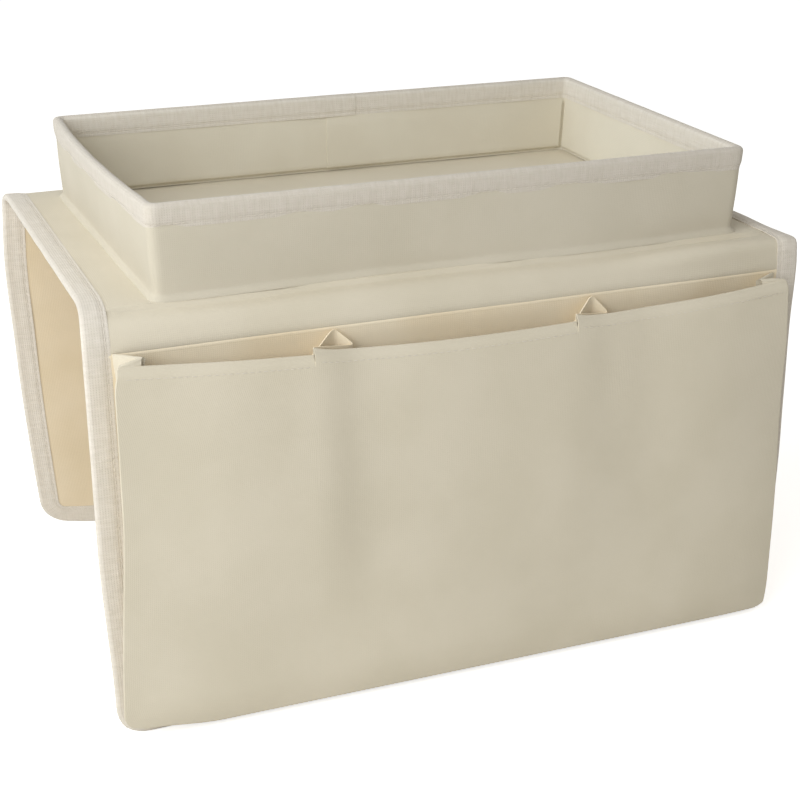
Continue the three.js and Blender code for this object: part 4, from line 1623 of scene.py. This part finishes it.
def hem_stitches():
    """The row of stitches along the pockets' hem."""
    front = PocketFront()
    sizes = front.sizes
    margin = 0.001
    lift_share = 0.8
    rows = []
    limits = (sizes.left_hem - HALF_LENGTH, *front.folds, HALF_LENGTH - sizes.right_hem)
    for after, left, right in zip((None, *front.folds), limits, limits[1:]):
        x = np.linspace(left + margin, right - margin, 60)
        drop = front.hem(x) + sizes.hem_stitch - lift_share * front.lift(x, after)
        depth = front.depth(x, drop)
        route = front.point(x, drop, depth)
        rows.append((route, front.point(x, drop, depth + SMALL_STEP) - route))
    thread = sew("pocket_hem_stitches", rows)
    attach(thread, "front_flap")


# Operators, one for each group of like pieces and one for the stage


class ORGANIZER_OT_covers(bpy.types.Operator):
    """Lay the cover cloth over both halves of the saddle"""

    bl_idname = "organizer.covers"
    bl_label = "Cover cloths"

    def execute(self, context):
        for side in sides():
            cover_cloth(side)
        return {"FINISHED"}


class ORGANIZER_OT_linings(bpy.types.Operator):
    """Lay the lining cloth inside both halves of the saddle"""

    bl_idname = "organizer.linings"
    bl_label = "Lining cloths"

    def execute(self, context):
        for side in sides():
            lining_cloth(side)
        return {"FINISHED"}


class ORGANIZER_OT_tapes(bpy.types.Operator):
    """Fold the binding tape over the saddle's edge and sew it"""

    bl_idname = "organizer.tapes"
    bl_label = "Edge tapes"

    def execute(self, context):
        for side in sides():
            edge_tape(side)
        return {"FINISHED"}


class ORGANIZER_OT_tray(bpy.types.Operator):
    """Make the tray's boards, cover, lining and rim tape"""

    bl_idname = "organizer.tray"
    bl_label = "Tray"

    def execute(self, context):
        tray_boards()
        tray_cover()
        tray_lining()
        tray_rim()
        return {"FINISHED"}


class ORGANIZER_OT_pockets(bpy.types.Operator):
    """Make the pockets' front, the pleats between them and the stitched hem"""

    bl_idname = "organizer.pockets"
    bl_label = "Pleated pockets"

    def execute(self, context):
        pocket_front()
        divider_pleats()
        hem_stitches()
        return {"FINISHED"}


class ORGANIZER_OT_boards(bpy.types.Operator):
    """Give the boards in the top panel and the pocket flap their finish and bend the plain flap's board"""

    bl_idname = "organizer.boards"
    bl_label = "Panel boards"

    def execute(self, context):
        for name in ("top_board", "front_flap_board"):
            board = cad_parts[name]
            board.data.materials.clear()
            board.data.materials.append(finishes()["grey_board"])
        hung_board(sides()[1])
        return {"FINISHED"}


class ORGANIZER_OT_stage(bpy.types.Operator):
    """Set up the pale floor, the soft light and the camera"""

    bl_idname = "organizer.stage"
    bl_label = "Stage"

    def execute(self, context):
        camera_at_photo_angle()
        floor_and_surround()
        lamps()
        context.scene.view_settings.view_transform = "Standard"
        return {"FINISHED"}


def aim(item, place, target):
    """Puts a camera or lamp at a place, looking at a target."""
    item.location = place
    item.rotation_euler = (target - place).to_track_quat("-Z", "Y").to_euler()


def camera_at_photo_angle():
    """The camera, at the photograph's angle and distance."""
    stage = settings().stage
    target = Vector((stage.target_x, 0, stage.target_z))
    level = math.cos(stage.elevation)
    back = Vector((
        math.sin(stage.azimuth) * level,
        -math.cos(stage.azimuth) * level,
        math.sin(stage.elevation),
    ))
    bpy.ops.object.camera_add()
    camera = bpy.context.object
    camera.data.lens = stage.lens
    camera.data.sensor_width = 36
    camera.data.clip_start = 0.01
    aim(camera, target + stage.distance * back, target)
    bpy.context.scene.camera = camera


def floor_and_surround():
    """The floor under the object, and a surround that lights evenly and looks white."""
    stage = settings().stage
    radius = 6
    name = "studio sweep, matt paper"
    studio_floor(name, tuple(settings().finish.floor))
    deselect()
    bpy.ops.mesh.primitive_circle_add(vertices=64, radius=radius, fill_type="NGON", location=(0, 0, FLOOR_Z))
    floor = bpy.context.object
    floor.name = "studio_floor"
    bpy.ops.object.transform_apply(location=True)
    floor.data.materials.append(bpy.data.materials[name])
    world = bpy.data.worlds.new("studio surround")
    world.use_nodes = True
    tree = world.node_tree
    tree.nodes.clear()
    light = node(tree, "ShaderNodeBackground", {"Color": (1, 0.985, 0.95, 1), "Strength": stage.surround})
    white = node(tree, "ShaderNodeBackground", {"Color": (1, 1, 1, 1), "Strength": 1.0})
    shown = node(tree, "ShaderNodeMixShader", {0: seen_rays(tree), 1: light.outputs[0], 2: white.outputs[0]})
    node(tree, "ShaderNodeOutputWorld", {0: shown.outputs[0]})
    bpy.context.scene.world = world


def lamps():
    """Two soft square lamps, at the left front and the left rear."""
    stage = settings().stage
    target = Vector((0, 0, -0.06))
    for name, power, tint, place in (
        ("key_lamp", stage.key_power, (0.95, 0.975, 1), Vector((-0.74, -0.52, 0.48))),
        ("side_lamp", stage.side_power, (0.88, 0.95, 1), Vector((-1.0, 0.45, 0.75))),
    ):
        bpy.ops.object.light_add(type="AREA")
        lamp = bpy.context.object
        lamp.name = name
        lamp.data.energy = power
        lamp.data.color = tint
        lamp.data.size = stage.lamp_size
        aim(lamp, place, target)


STEPS = (
    ORGANIZER_OT_stage,
    ORGANIZER_OT_covers,
    ORGANIZER_OT_linings,
    ORGANIZER_OT_tapes,
    ORGANIZER_OT_tray,
    ORGANIZER_OT_pockets,
    ORGANIZER_OT_boards,
)


class ORGANIZER_PT_panel(bpy.types.Panel):
    """The steps that dress the organizer, in order"""

    bl_idname = "ORGANIZER_PT_panel"
    bl_label = "Armrest organizer"
    bl_space_type = "VIEW_3D"
    bl_region_type = "UI"
    bl_category = "Organizer"

    def draw(self, context):
        column = self.layout.column()
        for step in STEPS:
            column.operator(step.bl_idname)


CLASSES = (
    SaddleSettings,
    TraySettings,
    PocketSettings,
    FinishSettings,
    StageSettings,
    OrganizerSettings,
    *STEPS,
    ORGANIZER_PT_panel,
)


def register():
    for cls in CLASSES:
        bpy.utils.register_class(cls)
    bpy.types.Scene.armrest_organizer = PointerProperty(type=OrganizerSettings)


def unregister():
    del bpy.types.Scene.armrest_organizer
    for cls in reversed(CLASSES):
        bpy.utils.unregister_class(cls)


def main():
    """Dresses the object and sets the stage."""
    register()
    bpy.ops.organizer.stage()
    bpy.ops.organizer.covers()
    bpy.ops.organizer.linings()
    bpy.ops.organizer.tapes()
    bpy.ops.organizer.tray()
    bpy.ops.organizer.pockets()
    bpy.ops.organizer.boards()


if __name__ == "__main__":
    main()
